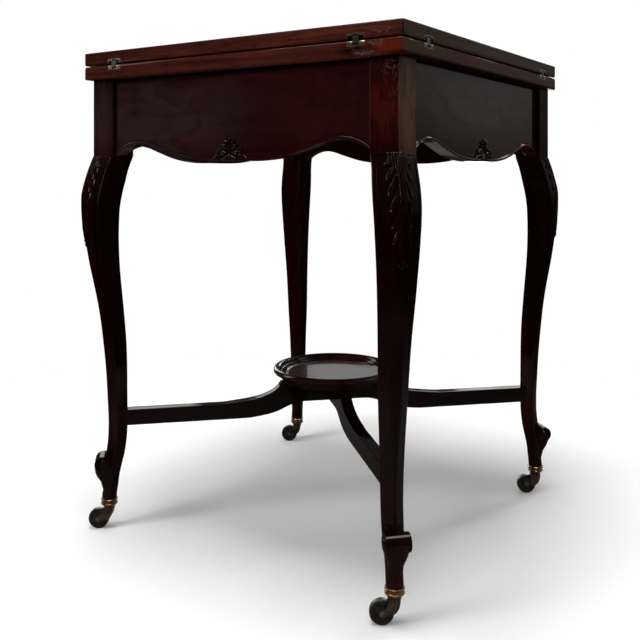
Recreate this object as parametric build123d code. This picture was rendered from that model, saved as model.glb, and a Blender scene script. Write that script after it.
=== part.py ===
from build123d import *
import math
import os

# A folding card table of the envelope kind, in millimetres. Z is up, the floor is at zero and
# the table stands centred on the Z axis. The front faces -Y. Four triangular leaves lie folded
# in on a square bed, which swivels on a square frame with four cabriole legs.

# Overall sizes
top_width = 560.0
table_height = 738.0
top_overhang = 10.0
sides = ("front", "right", "back", "left")
corners = ("back_right", "back_left", "front_left", "front_right")
cut_overrun = 5.0

# Top: bed, leaves and their edges
leaf_thickness = 19.5
bed_thickness = 20.0
leaf_lift = 1.6
mitre_gap = 1.2
corner_radius = 4.0
edge_radius = 2.0

# Playing cloth
cloth_thickness = 1.2
cloth_stand = 0.6
cloth_hinge_margin = 19.0
cloth_mitre_margin = 40.0

# Link hinges
hinge_from_corner = 67.0
pin_inset = 3.0
pin_diameter = 2.2
pin_clearance = 0.05
hinge_width = 26.0
hinge_depth = 7.5
hinge_height = 7.4
wing_depth = 16.0
wing_thickness = 2.0
link_width = 9.0
link_end_radius = 2.7
link_side_clearance = 0.25
link_end_clearance = 0.3
hinge_notch_width = 6.8
hinge_notch_height = 4.5
hinge_notch_depth = 1.4
hinge_pin_length = 19.0
hinge_screw_diameter = 2.6
hinge_screw_head = 5.2
hinge_screw_length = 11.0
hinge_screw_from_edge = 11.5
hinge_screw_spacing = 18.0

# Swivel of the top
swivel_gap = 0.3
disc_diameter = 130.0
disc_thickness = 2.4
disc_gap = 0.1
board_thickness = 14.0
bolt_diameter = 12.0
bolt_clearance = 0.05
bolt_flange_diameter = 46.0
bolt_flange_thickness = 3.0
bolt_stub_length = 8.0
bolt_end_length = 3.0
washer_diameter = 34.0
washer_thickness = 2.5
nut_across_flats = 19.0
nut_height = 10.0
swivel_angle = 45.0
peg_diameter = 8.0
peg_radius_from_axis = 120.0
peg_seat_depth = 11.0
peg_end_length = 2.0
peg_clearance = 0.5

# Frame: posts, friezes and what is inside
post_width = 43.0
post_bottom_share = 0.784
post_edge_radius = 1.0
frieze_thickness = 20.0
frieze_setback = 7.0
frieze_drop = 8.5
frieze_arch_rise = 26.0
bead_width = 5.0
bead_stand = 2.0
bead_edge_radius = 1.6
tenon_length = 18.0
tenon_thickness = 9.0
tenon_above_post = 27.5
tenon_below_top = 24.5
brace_below_ledger = 3.0
brace_height = 34.0
brace_width = 28.0
screw_diameter = 4.0
screw_head_diameter = 8.0
screw_head_height = 3.0
screw_in_frieze = 13.0
ledger_width = 16.0
ledger_height = 18.0
ledger_end_gap = 30.0
carving_width = 56.0
carving_height = 33.0
carving_thickness = 4.0

# Lower edge of a frieze: places along its half length, and heights as shares of the arch's rise
apron_along_shares = (0.0, 0.22, 0.43, 0.59, 0.705, 0.79, 0.88, 0.95, 1.0)
apron_rise_shares = (0.0, 0.015, 0.25, 0.635, 0.925, 1.0, 0.905, 0.655, 0.365)

# Cabriole leg: levels from the foot of the post down to the caster's cup. Each share is of the
# height between those two, of the post's width for the inner arris set back from the frame's
# outer line, of the post's width for the side, and of the side for the radii of the arrises.
leg_height_shares = (1.0, 0.965, 0.927, 0.89, 0.85, 0.811, 0.773, 0.732, 0.685, 0.638, 0.585,
                     0.52, 0.465, 0.407, 0.345, 0.285, 0.223, 0.176, 0.13, 0.097, 0.063, 0.0365,
                     0.014, 0.0)
leg_inset_shares = (1.0, 0.907, 0.819, 0.737, 0.679, 0.66, 0.651, 0.656, 0.674, 0.705, 0.749,
                    0.80, 0.837, 0.858, 0.865, 0.87, 0.874, 0.856, 0.802, 0.74, 0.686, 0.672,
                    0.658, 0.656)
leg_side_shares = (1.0, 1.035, 1.06, 1.06, 1.037, 1.0, 0.96, 0.916, 0.87, 0.826, 0.774,
                   0.728, 0.698, 0.658, 0.605, 0.565, 0.535, 0.521, 0.516, 0.512, 0.477, 0.477,
                   0.507, 0.521)
leg_inner_arris_shares = (0.03, 0.045, 0.055, 0.06, 0.065, 0.07, 0.07, 0.075, 0.08, 0.085, 0.09,
                          0.096, 0.1, 0.106, 0.115, 0.123, 0.13, 0.134, 0.15, 0.21, 0.29, 0.39,
                          0.468, 0.495)
leg_outer_arris_shares = (0.03, 0.067, 0.11, 0.154, 0.2, 0.256, 0.315, 0.355, 0.4, 0.437, 0.465,
                          0.479, 0.467, 0.459, 0.385, 0.288, 0.217, 0.178, 0.18, 0.23, 0.29, 0.39,
                          0.468, 0.495)
bar_arris_inset_share = 0.874

# Foot: round seat of the caster, scroll roll and toe under it
foot_round_diameter = 22.5
scroll_radius = 12.0
scroll_length = 33.0
scroll_height_share = 0.107
scroll_out = 9.7
scroll_eye_radius = 5.0
scroll_eye_stand = 2.2
scroll_end_radius = 1.5
toe_drop_shares = (0.1, 0.6, 1.29, 1.96, 2.46, 2.96, 3.6)
toe_out_shares = (0.9, 0.92, 0.88, 0.742, 0.567, 0.483, 0.385)
toe_width_shares = (0.96, 0.97, 0.87, 0.67, 0.62, 0.6, 0.56)
toe_back_share = 0.35

# Stretcher: two bars that sweep up to a half-lapped hub
bar_width = 18.0
bar_low_share = 0.217
bar_height = 24.0
hub_rise = 22.0
hub_height = 32.0
hub_flat = 50.0
bar_bottom_along = (94.0, 122.0, 152.0)
bar_bottom_rise_shares = (0.39, 0.11, 0.0)
bar_top_along = (87.0, 108.0, 130.0, 172.0)
bar_top_rise_shares = (1.0, 0.42, 0.2, 0.03)
dowel_diameter = 9.0
dowel_length = 13.0

# Tray
tray_radius = 98.5
tray_base_radius = 82.0
tray_height = 22.0
tray_floor_radius = 68.0
tray_floor_drop = 9.5
tray_bead_radius = 5.2
tray_screw_diameter = 4.5
tray_screw_head = 9.0
tray_screw_head_height = 3.5
tray_screw_from_centre = 34.0
tray_screw_in_tray = 8.0

# Casters
cup_outer_diameter = 24.0
cup_low = 35.3
cup_height = 11.3
cup_floor = 2.0
cup_wall = 1.6
cup_foot_inset = 2.6
cup_bead_stand = 0.9
cup_bead_height = 2.6
wheel_diameter = 31.0
wheel_width = 10.0
wheel_trail = 16.0
wheel_hub_diameter = 12.0
wheel_edge_chamfer = 1.6
wheel_dish_depth = 1.2
wheel_dish_diameter = 22.0
axle_diameter = 4.0
axle_clearance = 0.05
axle_head_diameter = 6.5
axle_head_height = 1.0
horn_gap = 0.3
horn_cheek = 1.8
horn_side_gap = 0.6
horn_boss_diameter = 17.0
horn_heel = 7.0
horn_boss_height = 3.6
horn_eye_radius = 4.6
horn_wheel_gap = 0.6
horn_hood = 1.1
horn_tip = 0.4
horn_front_angle = -30.0
stem_diameter = 6.0
stem_clearance = 0.05
stem_head_diameter = 9.0
stem_head_height = 1.4
stem_head_gap = 0.3
stem_pocket_diameter = 11.0
stem_pocket_height = 2.4
caster_trail_angle = 213.4

# Places and levels that follow from the sizes above
root_two = math.sqrt(2.0)
half_top = top_width / 2
half_frame = half_top - top_overhang
half_span = half_frame - post_width
leaf_low = table_height - leaf_thickness
bed_high = leaf_low - leaf_lift
bed_low = bed_high - bed_thickness
frame_high = bed_low - swivel_gap
cloth_recess = cloth_thickness - cloth_stand
bed_pin_z = bed_high - pin_inset
leaf_pin_z = leaf_low + pin_inset
pin_y = -half_top + pin_inset
hinge_from_centre = half_top - hinge_from_corner
disc_high = bed_low - disc_gap
board_high = disc_high - disc_thickness
board_low = board_high - board_thickness
ledger_low = board_low - ledger_height
brace_low = ledger_low - brace_below_ledger - brace_height
frieze_face = half_frame - frieze_setback
frieze_back = frieze_face - frieze_thickness
post_bottom = post_bottom_share * table_height
frieze_low = post_bottom - frieze_drop
tenon_low = post_bottom + tenon_above_post
tenon_high = frame_high - tenon_below_top
cup_high = cup_low + cup_height
leg_drop = post_bottom - cup_high
half_caster = half_frame - post_width * (leg_inset_shares[-1] - leg_side_shares[-1] / 2)
scroll_height = cup_high + scroll_height_share * leg_drop
bar_low = bar_low_share * table_height
hub_low = bar_low + hub_rise
hub_high = hub_low + hub_height
tray_high = hub_high + tray_height
wheel_radius = wheel_diameter / 2


def turned(shape, quarter):
    """A copy of a shape turned by so many quarter turns about the table's axis."""
    return Rot(0, 0, 90 * quarter) * shape


def box_between(low, high):
    """A box from its lowest corner to its highest."""
    size = [high[i] - low[i] for i in range(3)]
    centre = [(high[i] + low[i]) / 2 for i in range(3)]
    return Pos(*centre) * Box(*size)


def rod(start, direction, radius, length):
    """A round rod from a point, along a direction."""
    return Plane(origin=start, z_dir=direction) * Cylinder(
        radius, length, align=(Align.CENTER, Align.CENTER, Align.MIN))


def arris_square(z, inner, side, inner_radius, outer_radius):
    """A level of the leg in the back right quarter: a square whose outermost arris has its own radius."""
    outer = inner + side
    radii = (inner_radius, inner_radius, outer_radius, inner_radius)
    points = ((inner, inner), (outer, inner), (outer, outer), (inner, outer))
    quarter_turns = (2, 3, 0, 1)
    inward = ((1, 1), (-1, 1), (-1, -1), (1, -1))
    centres = [(p[0] + s[0] * r, p[1] + s[1] * r) for p, s, r in zip(points, inward, radii)]
    arcs = [CenterArc((c[0], c[1], z), r, 90 * q, 90) for c, r, q in zip(centres, radii, quarter_turns)]
    edges = []
    for number, arc in enumerate(arcs):
        following = arcs[(number + 1) % len(arcs)]
        edges += [arc, Line(arc @ 1, following @ 0)]
    return make_face(Curve() + edges)


def leg_body():
    """Post, knee, shank and ankle of the leg in the back right corner, down to its round foot."""
    post = box_between((half_span, half_span, post_bottom), (half_frame, half_frame, frame_high))
    post = fillet(post.edges().filter_by(Axis.Z), post_edge_radius)
    levels = []
    for height, inset, side, inner_arris, outer_arris in zip(
            leg_height_shares, leg_inset_shares, leg_side_shares,
            leg_inner_arris_shares, leg_outer_arris_shares):
        width = side * post_width
        levels.append(arris_square(cup_high + height * leg_drop, half_frame - inset * post_width, width,
                                   inner_arris * width, outer_arris * width))
    return post + loft(levels)


def foot_scroll():
    """Roll of the scroll foot with an eye at each end, and the toe under it, on the leg's diagonal."""
    leg_line = half_caster * root_two
    along = Vector(1, 1, 0).normalized()
    across = Vector(-1, 1, 0).normalized()
    centre = along * (leg_line + scroll_out) + Vector(0, 0, scroll_height)
    roll = Plane(origin=centre, z_dir=across) * Cylinder(scroll_radius, scroll_length)
    roll = fillet(roll.edges().filter_by(GeomType.CIRCLE), scroll_end_radius)
    roll += Plane(origin=centre, z_dir=across) * Cylinder(
        scroll_eye_radius, scroll_length + 2 * scroll_eye_stand)
    rear = toe_back_share * foot_round_diameter
    levels = []
    for drop, out, width in zip(toe_drop_shares, toe_out_shares, toe_width_shares):
        reach = out * scroll_radius * 2
        length, breadth = reach + rear, width * scroll_length
        level = scroll_height - drop * scroll_radius
        middle = along * (leg_line + (reach - rear) / 2) + Vector(0, 0, level)
        plane = Plane(origin=middle, x_dir=along, z_dir=(0, 0, 1))
        levels.append(plane * RectangleRounded(length, breadth, 0.45 * min(length, breadth)))
    return roll + loft(levels)


def leg():
    """One whole leg in the back right corner, with its mortises and the seat of its caster."""
    solid = leg_body() + foot_scroll()
    tip = rod((half_caster, half_caster, cup_low + cup_floor), (0, 0, 1),
              cup_outer_diameter / 2 - cup_wall, cup_height - cup_floor)
    solid += tip
    solid -= rod((half_caster, half_caster, cup_low), (0, 0, 1),
                 stem_pocket_diameter / 2, cup_floor + stem_pocket_height)
    middle = (frieze_face + frieze_back) / 2
    for flip in (False, True):
        low = (half_span - cut_overrun, middle - tenon_thickness / 2, tenon_low)
        high = (half_span + tenon_length, middle + tenon_thickness / 2, tenon_high)
        if flip:
            low, high = (low[1], low[0], low[2]), (high[1], high[0], high[2])
        solid -= box_between(low, high)
    return solid


def apron_curve(lift):
    """The serpentine lower edge of a frieze, in its XZ plane, raised by a lift."""
    half = [(along * half_span, frieze_low + rise * frieze_arch_rise + lift)
            for along, rise in zip(apron_along_shares, apron_rise_shares)]
    points = [(-x, z) for x, z in reversed(half[1:])] + half
    return Spline(*[(x, 0, z) for x, z in points])


def apron_face(lift, top):
    """The face between the serpentine edge and a straight or serpentine top."""
    lower = apron_curve(lift)
    if top is None:
        upper = apron_curve(lift + bead_width)
        edges = [lower, Line(lower @ 1, upper @ 1), upper, Line(upper @ 0, lower @ 0)]
    else:
        right, left = Vector(half_span, 0, top), Vector(-half_span, 0, top)
        edges = [lower, Line(lower @ 1, right), Line(right, left), Line(left, lower @ 0)]
    return make_face(Curve() + edges)


def frieze():
    """Front frieze: board with serpentine edge, bead along it and a tenon at each end."""
    board = extrude(apron_face(0, frame_high), amount=frieze_thickness, dir=(0, 1, 0))
    board = Pos(0, -frieze_face, 0) * board
    bead = extrude(apron_face(0, None), amount=bead_stand, dir=(0, -1, 0))
    front = [e for e in bead.faces().sort_by(Axis.Y)[0].edges() if e.length > half_span]
    bead = Pos(0, -frieze_face, 0) * fillet(front, bead_edge_radius)
    middle = -(frieze_face + frieze_back) / 2
    solid = board + bead
    for end in (-1, 1):
        low_x, high_x = sorted((end * half_span, end * (half_span + tenon_length)))
        solid += box_between((low_x, middle - tenon_thickness / 2, tenon_low),
                             (high_x, middle + tenon_thickness / 2, tenon_high))
    return solid


def frieze_carving():
    """Carved shell crest at the middle of the front frieze, in its main form."""
    low = frieze_low + bead_width
    half = carving_width / 2
    crest = [(-half, 0, low), (-0.55 * half, 0, low + 0.3 * carving_height),
             (-0.28 * half, 0, low + 0.62 * carving_height), (0, 0, low + 0.85 * carving_height),
             (0.28 * half, 0, low + 0.62 * carving_height), (0.55 * half, 0, low + 0.3 * carving_height),
             (half, 0, low)]
    outline = Spline(*crest)
    face = make_face(Curve() + [outline, Line(outline @ 1, outline @ 0)])
    solid = extrude(face, amount=carving_thickness, dir=(0, -1, 0))
    return Pos(0, -frieze_face, 0) * solid - frieze()


def brace_screw():
    """A screw through the front end of the front right corner brace, into the front frieze."""
    x = half_span - brace_width - ledger_width / 2
    z = brace_low + brace_height / 2
    tip = (x, -frieze_back - screw_in_frieze, z)
    shank_end = -frieze_back + brace_width / 2
    shank = rod(tip, (0, 1, 0), screw_diameter / 2, shank_end + frieze_back + screw_in_frieze)
    head = rod((x, shank_end, z), (0, 1, 0), screw_head_diameter / 2, screw_head_height)
    return shank + head


def mirrored_diagonal(shape):
    """The same shape mirrored in the front right corner's own diagonal."""
    return mirror(shape, about=Plane(origin=(0, 0, 0), z_dir=(1, 1, 0)))


def corner_brace():
    """Front right corner brace: a block set across the corner behind the post."""
    outer = 2 * half_span
    inner = outer - brace_width * root_two
    far = frieze_back
    points = [(outer - far, -far), (inner - far, -far), (far, far - inner), (far, far - outer)]
    face = make_face(Polyline(*[(x, y, brace_low) for x, y in points], close=True))
    solid = extrude(face, amount=brace_height, dir=(0, 0, 1))
    head = screw_head_diameter / 2
    x = half_span - brace_width - ledger_width / 2
    pocket = rod((x, -frieze_back + brace_width / 2, brace_low + brace_height / 2), (0, 1, 0),
                 head, brace_width * 2)
    for cut in (brace_screw(), pocket):
        solid -= cut
        solid -= mirrored_diagonal(cut)
    return solid


def ledger():
    """Front ledger strip that carries the pivot board."""
    half = half_span - ledger_end_gap
    return box_between((-half, -frieze_back, ledger_low),
                       (half, -frieze_back + ledger_width, board_low))


def peg_slot(height, low):
    """Arc-shaped slot that the stop peg runs in."""
    path = CenterArc((0, 0), peg_radius_from_axis, 90, swivel_angle)
    slot = SlotArc(path, peg_diameter + 2 * peg_clearance)
    return Pos(0, 0, low) * extrude(slot, amount=height)


def pivot_board():
    """Board inside the frieze box, notched round the posts, bored for the bolt and slotted for the peg."""
    solid = box_between((-frieze_back, -frieze_back, board_low), (frieze_back, frieze_back, board_high))
    for sx in (-1, 1):
        for sy in (-1, 1):
            xs = sorted((sx * half_span, sx * (frieze_back + cut_overrun)))
            ys = sorted((sy * half_span, sy * (frieze_back + cut_overrun)))
            solid -= box_between((xs[0], ys[0], board_low - cut_overrun),
                                 (xs[1], ys[1], board_high + cut_overrun))
    solid -= rod((0, 0, board_low - cut_overrun), (0, 0, 1), bolt_diameter / 2 + bolt_clearance,
                 board_thickness + 2 * cut_overrun)
    solid -= peg_slot(board_thickness + 2 * cut_overrun, board_low - cut_overrun)
    return solid


def bearing_disc():
    """Waxed hardwood disc on the board that the bed turns on."""
    solid = rod((0, 0, board_high), (0, 0, 1), disc_diameter / 2, disc_thickness)
    solid -= rod((0, 0, board_high - cut_overrun), (0, 0, 1), bolt_diameter / 2 + bolt_clearance,
                 disc_thickness + 2 * cut_overrun)
    return solid


def pivot_bolt():
    """Bolt with a flange let into the bed's underside."""
    end_z = board_low - washer_thickness - nut_height - bolt_end_length
    solid = rod((0, 0, end_z), (0, 0, 1), bolt_diameter / 2, bed_low + bolt_flange_thickness
                + bolt_stub_length - end_z)
    solid += rod((0, 0, bed_low), (0, 0, 1), bolt_flange_diameter / 2, bolt_flange_thickness)
    top_edge = solid.edges().filter_by(GeomType.CIRCLE).sort_by(Axis.Z)
    return chamfer([top_edge[0], top_edge[-1]], bolt_diameter / 12)


def pivot_washer():
    """Washer under the pivot board."""
    z = board_low - disc_gap - washer_thickness
    solid = rod((0, 0, z), (0, 0, 1), washer_diameter / 2, washer_thickness)
    return solid - rod((0, 0, z - cut_overrun), (0, 0, 1), bolt_diameter / 2,
                       washer_thickness + 2 * cut_overrun)


def pivot_nut():
    """Hexagon nut under the washer."""
    z = board_low - disc_gap - washer_thickness - nut_height
    hexagon = RegularPolygon(nut_across_flats / 2, 6, major_radius=False)
    solid = Pos(0, 0, z) * extrude(hexagon, amount=nut_height)
    return solid - rod((0, 0, z - cut_overrun), (0, 0, 1), bolt_diameter / 2,
                       nut_height + 2 * cut_overrun)


def stop_peg():
    """Round peg in the bed's underside that runs in the board's slot."""
    low = board_low - peg_end_length
    solid = rod((0, peg_radius_from_axis, low), (0, 0, 1), peg_diameter / 2,
                bed_low + peg_seat_depth - low)
    return chamfer(solid.edges().filter_by(GeomType.CIRCLE).sort_by(Axis.Z)[0], peg_diameter / 10)


def hinge_body(face_z, inward):
    """Brass bed or leaf plate at the middle of the front edge: knuckle block and wing, not yet bored.

    face_z is the level of the face that the wing lies in, and inward is +1 where the wood lies above it.
    """
    def level(depth):
        return face_z + inward * depth

    def slab(x, y_low, y_high, depth_low, depth_high):
        z_low, z_high = sorted((level(depth_low), level(depth_high)))
        return box_between((-x, y_low, z_low), (x, y_high, z_high))
    half = hinge_width / 2
    solid = slab(half, -half_top, -half_top + hinge_depth, 0, hinge_height)
    solid += slab(half, -half_top, -half_top + wing_depth, 0, wing_thickness)
    edge = [e for e in solid.edges().filter_by(Axis.X)
            if abs(e.center().Y + half_top) < edge_radius and abs(e.center().Z - face_z) < edge_radius]
    return fillet(edge, pin_inset - pin_clearance)


def hinge_plate(face_z, inward):
    """A bed or leaf plate with its link slot, pin bore, screw holes and, on a leaf, its two notches."""
    solid = hinge_body(face_z, inward)
    pin_z = face_z + inward * pin_inset
    deep = pin_inset + link_end_radius + link_end_clearance
    half = link_width / 2 + link_side_clearance
    levels = sorted((face_z - inward * cut_overrun, face_z + inward * deep))
    solid -= box_between((-half, -half_top - cut_overrun, levels[0]), (half, -half_top + deep, levels[1]))
    solid -= rod((-hinge_pin_length / 2, pin_y, pin_z), (1, 0, 0), pin_diameter / 2 + pin_clearance,
                 hinge_pin_length)
    if inward > 0:
        for side in (-1, 1):
            xs = sorted((side * half, side * (half + hinge_notch_width)))
            solid -= box_between((xs[0], -half_top - cut_overrun, face_z - cut_overrun),
                                 (xs[1], -half_top + hinge_notch_depth, face_z + hinge_notch_height))
    for side in (-1, 1):
        solid -= hinge_screw(side, face_z, inward)
    return solid


def hinge_screw(side, face_z, inward):
    """One countersunk screw of a plate, head flush with the wing's face."""
    x = side * hinge_screw_spacing / 2
    y = -half_top + hinge_screw_from_edge
    direction = (0, 0, inward)
    shank = rod((x, y, face_z), direction, hinge_screw_diameter / 2, hinge_screw_length)
    taper = (hinge_screw_head - hinge_screw_diameter) / 2
    cone = Cone(hinge_screw_head / 2, hinge_screw_diameter / 2, taper,
                align=(Align.CENTER, Align.CENTER, Align.MIN))
    return shank + Plane(origin=(x, y, face_z), z_dir=direction) * cone


def at_hinges(shape):
    """The same shape at both hinges of the front edge."""
    return [Pos(side * hinge_from_centre, 0, 0) * shape for side in (-1, 1)]


def hinge_link():
    """Link between a bed pin and a leaf pin, standing upright while the leaf is shut."""
    half = link_width / 2
    length = leaf_pin_z - bed_pin_z
    lower = rod((-half, pin_y, bed_pin_z), (1, 0, 0), link_end_radius, link_width)
    upper = rod((-half, pin_y, leaf_pin_z), (1, 0, 0), link_end_radius, link_width)
    bar = box_between((-half, pin_y - link_end_radius, bed_pin_z),
                      (half, pin_y + link_end_radius, bed_pin_z + length))
    solid = lower + upper + bar
    for pin_z in (bed_pin_z, leaf_pin_z):
        solid -= rod((-link_width, pin_y, pin_z), (1, 0, 0), pin_diameter / 2, link_width * 2)
    return solid


def hinge_pin(pin_z):
    """One hinge pin, held in the link and turning in the plate."""
    return rod((-hinge_pin_length / 2 + pin_clearance, pin_y, pin_z), (1, 0, 0), pin_diameter / 2,
               hinge_pin_length - 2 * pin_clearance)


def bed_cloth():
    """Square of playing cloth let into the bed."""
    side = top_width - 2 * cloth_hinge_margin
    low = bed_high - cloth_recess
    return Pos(0, 0, low) * extrude(Rectangle(side, side), amount=cloth_thickness)


def bed():
    """Square bed of the top with eased edges, cut for hinges, cloth, bolt and peg."""
    solid = box_between((-half_top, -half_top, bed_low), (half_top, half_top, bed_high))
    solid = fillet(solid.edges().filter_by(Axis.Z), corner_radius)
    solid = fillet(solid.faces().sort_by(Axis.Z)[-1].edges(), pin_inset - pin_clearance)
    solid = fillet(solid.faces().sort_by(Axis.Z)[0].edges(), edge_radius)
    side = top_width - 2 * cloth_hinge_margin
    solid -= Pos(0, 0, bed_high - cloth_recess) * extrude(Rectangle(side, side), amount=cut_overrun)
    for quarter in range(4):
        for place in at_hinges(hinge_pocket(bed_high, -1)):
            solid -= turned(place, quarter)
    solid -= pivot_bolt()
    solid -= stop_peg()
    return solid


def hinge_pocket(face_z, inward):
    """The wood cut away for one hinge plate, its screws and the swing of its link."""
    half = hinge_width / 2
    z_low, z_high = sorted((face_z - inward * cut_overrun, face_z + inward * hinge_height))
    solid = box_between((-half, -half_top - cut_overrun, z_low), (half, -half_top + hinge_depth, z_high))
    z_low, z_high = sorted((face_z - inward * cut_overrun, face_z + inward * wing_thickness))
    solid += box_between((-half, -half_top - cut_overrun, z_low), (half, -half_top + wing_depth, z_high))
    for side in (-1, 1):
        solid += hinge_screw(side, face_z, inward)
    return solid


def leaf_triangle(mitre_inset, hinge_inset):
    """Triangle of the front leaf seen from above, drawn in from its hinge edge and its mitres."""
    inset = mitre_inset * root_two
    base = -half_top + hinge_inset
    reach = half_top - hinge_inset - inset
    return make_face(Polyline((-reach, base), (reach, base), (0, -inset), close=True))


def leaf_cloth():
    """Triangle of playing cloth in the front leaf's inner face."""
    outline = leaf_triangle(cloth_mitre_margin, cloth_hinge_margin)
    return Pos(0, 0, leaf_low - cloth_stand) * extrude(outline, amount=cloth_thickness)


def leaf():
    """Front leaf of the top, folded in on the bed: a quarter of one slab with eased edges."""
    slab = box_between((-half_top, -half_top, leaf_low), (half_top, half_top, table_height))
    slab = fillet(slab.edges().filter_by(Axis.Z), corner_radius)
    slab = fillet(slab.faces().sort_by(Axis.Z)[0].edges(), pin_inset - pin_clearance)
    slab = fillet(slab.faces().sort_by(Axis.Z)[-1].edges(), edge_radius)
    outline = leaf_triangle(mitre_gap / 2, -cut_overrun)
    solid = slab & (Pos(0, 0, leaf_low - cut_overrun) * extrude(
        outline, amount=leaf_thickness + 2 * cut_overrun))
    solid -= leaf_cloth()
    for place in at_hinges(hinge_pocket(leaf_low, 1)):
        solid -= place
    return solid


def stretcher_profile():
    """Half of a bar's side view, from the table's axis to the leg, in the XZ plane."""
    end = (half_frame - post_width / 2) * root_two
    rise = hub_low - bar_low
    bottom = [(hub_flat, hub_low)]
    bottom += [(x, bar_low + s * rise) for x, s in zip(bar_bottom_along, bar_bottom_rise_shares)]
    bar_high = bar_low + bar_height
    rise = hub_high - bar_high
    top = [(x, bar_high + s * rise) for x, s in zip(bar_top_along, bar_top_rise_shares)]
    top.append((bar_top_along[-1] + hub_flat, bar_high))
    lower = Spline(*[(x, 0, z) for x, z in bottom], tangents=((1, 0, 0), (1, 0, 0)))
    upper = Spline(*[(x, 0, z) for x, z in top], tangents=((1, 0, -2), (1, 0, 0)))
    corners_round = [Vector(0, 0, hub_low), lower @ 0, lower @ 1, Vector(end, 0, bar_low),
                     Vector(end, 0, bar_high), upper @ 1, upper @ 0, Vector(0, 0, hub_high)]
    edges = [Line(corners_round[0], corners_round[1]), lower, Line(corners_round[2], corners_round[3]),
             Line(corners_round[3], corners_round[4]), Line(corners_round[4], corners_round[5]), upper,
             Line(corners_round[6], corners_round[7]), Line(corners_round[7], corners_round[0])]
    return make_face(Curve() + edges)


def stretcher_bar(legs):
    """A bar along X before it is turned onto its diagonal, with both dowels and the legs cut away."""
    half = extrude(stretcher_profile(), amount=bar_width / 2, dir=(0, 1, 0), both=True)
    bar = half + mirror(half, about=Plane.YZ)
    bar = Rot(0, 0, 45) * bar
    for solid in legs:
        bar -= solid
    middle = bar_low + bar_height / 2
    return bar + stretcher_dowel(middle, 1) + stretcher_dowel(middle, -1)


def stretcher_dowel(z, sign):
    """Dowel from a bar's end into the leg on the diagonal of the back right or front left corner."""
    start = half_span
    arris = (half_frame - bar_arris_inset_share * post_width) * root_two
    reach = arris + dowel_length - start * root_two
    return rod((sign * start, sign * start, z), (sign, sign, 0), dowel_diameter / 2, reach)


def tray():
    """Dished tray: rim bead, stepped inner slope, flat floor and a hollow moulding under the rim."""
    low, high = hub_high, tray_high
    floor = high - tray_floor_drop
    bead = tray_bead_radius
    inner = tray_radius - 2 * bead
    step = (inner - tray_floor_radius) / 3
    drop = (high - bead - floor) / 3
    profile = Polyline((0, 0, low), (tray_base_radius, 0, low), (tray_base_radius, 0, low + bead / 2))
    cove = ThreePointArc(profile @ 1, (tray_base_radius + bead, 0, low + 1.4 * bead),
                         (inner + bead, 0, high - 2 * bead))
    rim = ThreePointArc(cove @ 1, (tray_radius, 0, high - bead), (tray_radius - bead, 0, high))
    rim_in = ThreePointArc(rim @ 1, (tray_radius - bead * (1 + 1 / root_two), 0, high - bead * (1 - 1 / root_two)),
                           (inner, 0, high - bead))
    steps = Polyline((inner, 0, high - bead), (inner - step, 0, high - bead),
                     (inner - step, 0, high - bead - drop), (inner - 2 * step, 0, high - bead - drop),
                     (inner - 2 * step, 0, high - bead - 2 * drop),
                     (tray_floor_radius, 0, high - bead - 2 * drop), (tray_floor_radius, 0, floor),
                     (0, 0, floor), (0, 0, low))
    face = make_face(Curve() + [profile, cove, rim, rim_in, steps])
    return revolve(face, axis=Axis.Z)


def tray_screw(quarter):
    """Screw up through a stretcher bar into the tray, on the diagonal of one corner."""
    place = tray_screw_from_centre / root_two
    base = hub_low
    shank = rod((place, place, base), (0, 0, 1), tray_screw_diameter / 2,
                hub_high - hub_low + tray_screw_in_tray)
    head = rod((place, place, base), (0, 0, 1), tray_screw_head / 2, tray_screw_head_height)
    return turned(shank + head, quarter)


def caster_cup():
    """Turned brass cup round the foot of the back right leg, with a bead at its mouth and one at its waist."""
    radius = cup_outer_diameter / 2
    ring, bead = radius + cup_bead_stand, cup_bead_height
    waist = cup_low + cup_height / 2 - bead
    inner = radius - cup_wall
    bore = stem_diameter / 2 + stem_clearance
    outline = [(bore, cup_low), (radius - cup_foot_inset, cup_low), (radius, cup_low + cup_foot_inset), (radius, waist),
               (ring, waist + bead / 3), (ring, waist + 2 * bead / 3), (radius, waist + bead),
               (radius, cup_high - bead), (ring, cup_high - 2 * bead / 3), (ring, cup_high - bead / 3),
               (radius, cup_high), (inner, cup_high), (inner, cup_low + cup_floor), (bore, cup_low + cup_floor)]
    face = make_face(Polyline(*[(x, 0, z) for x, z in outline], close=True))
    return Pos(half_caster, half_caster, 0) * revolve(face, axis=Axis.Z)


def caster_places():
    """Foot places, in the order of the corner names."""
    return [(half_caster, half_caster), (-half_caster, half_caster),
            (-half_caster, -half_caster), (half_caster, -half_caster)]


def placed_caster(shape, place):
    """A caster piece made at the axis with its trail along X, set at a foot and turned to its trail."""
    return Pos(place[0], place[1], 0) * Rot(0, 0, caster_trail_angle) * shape


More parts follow.
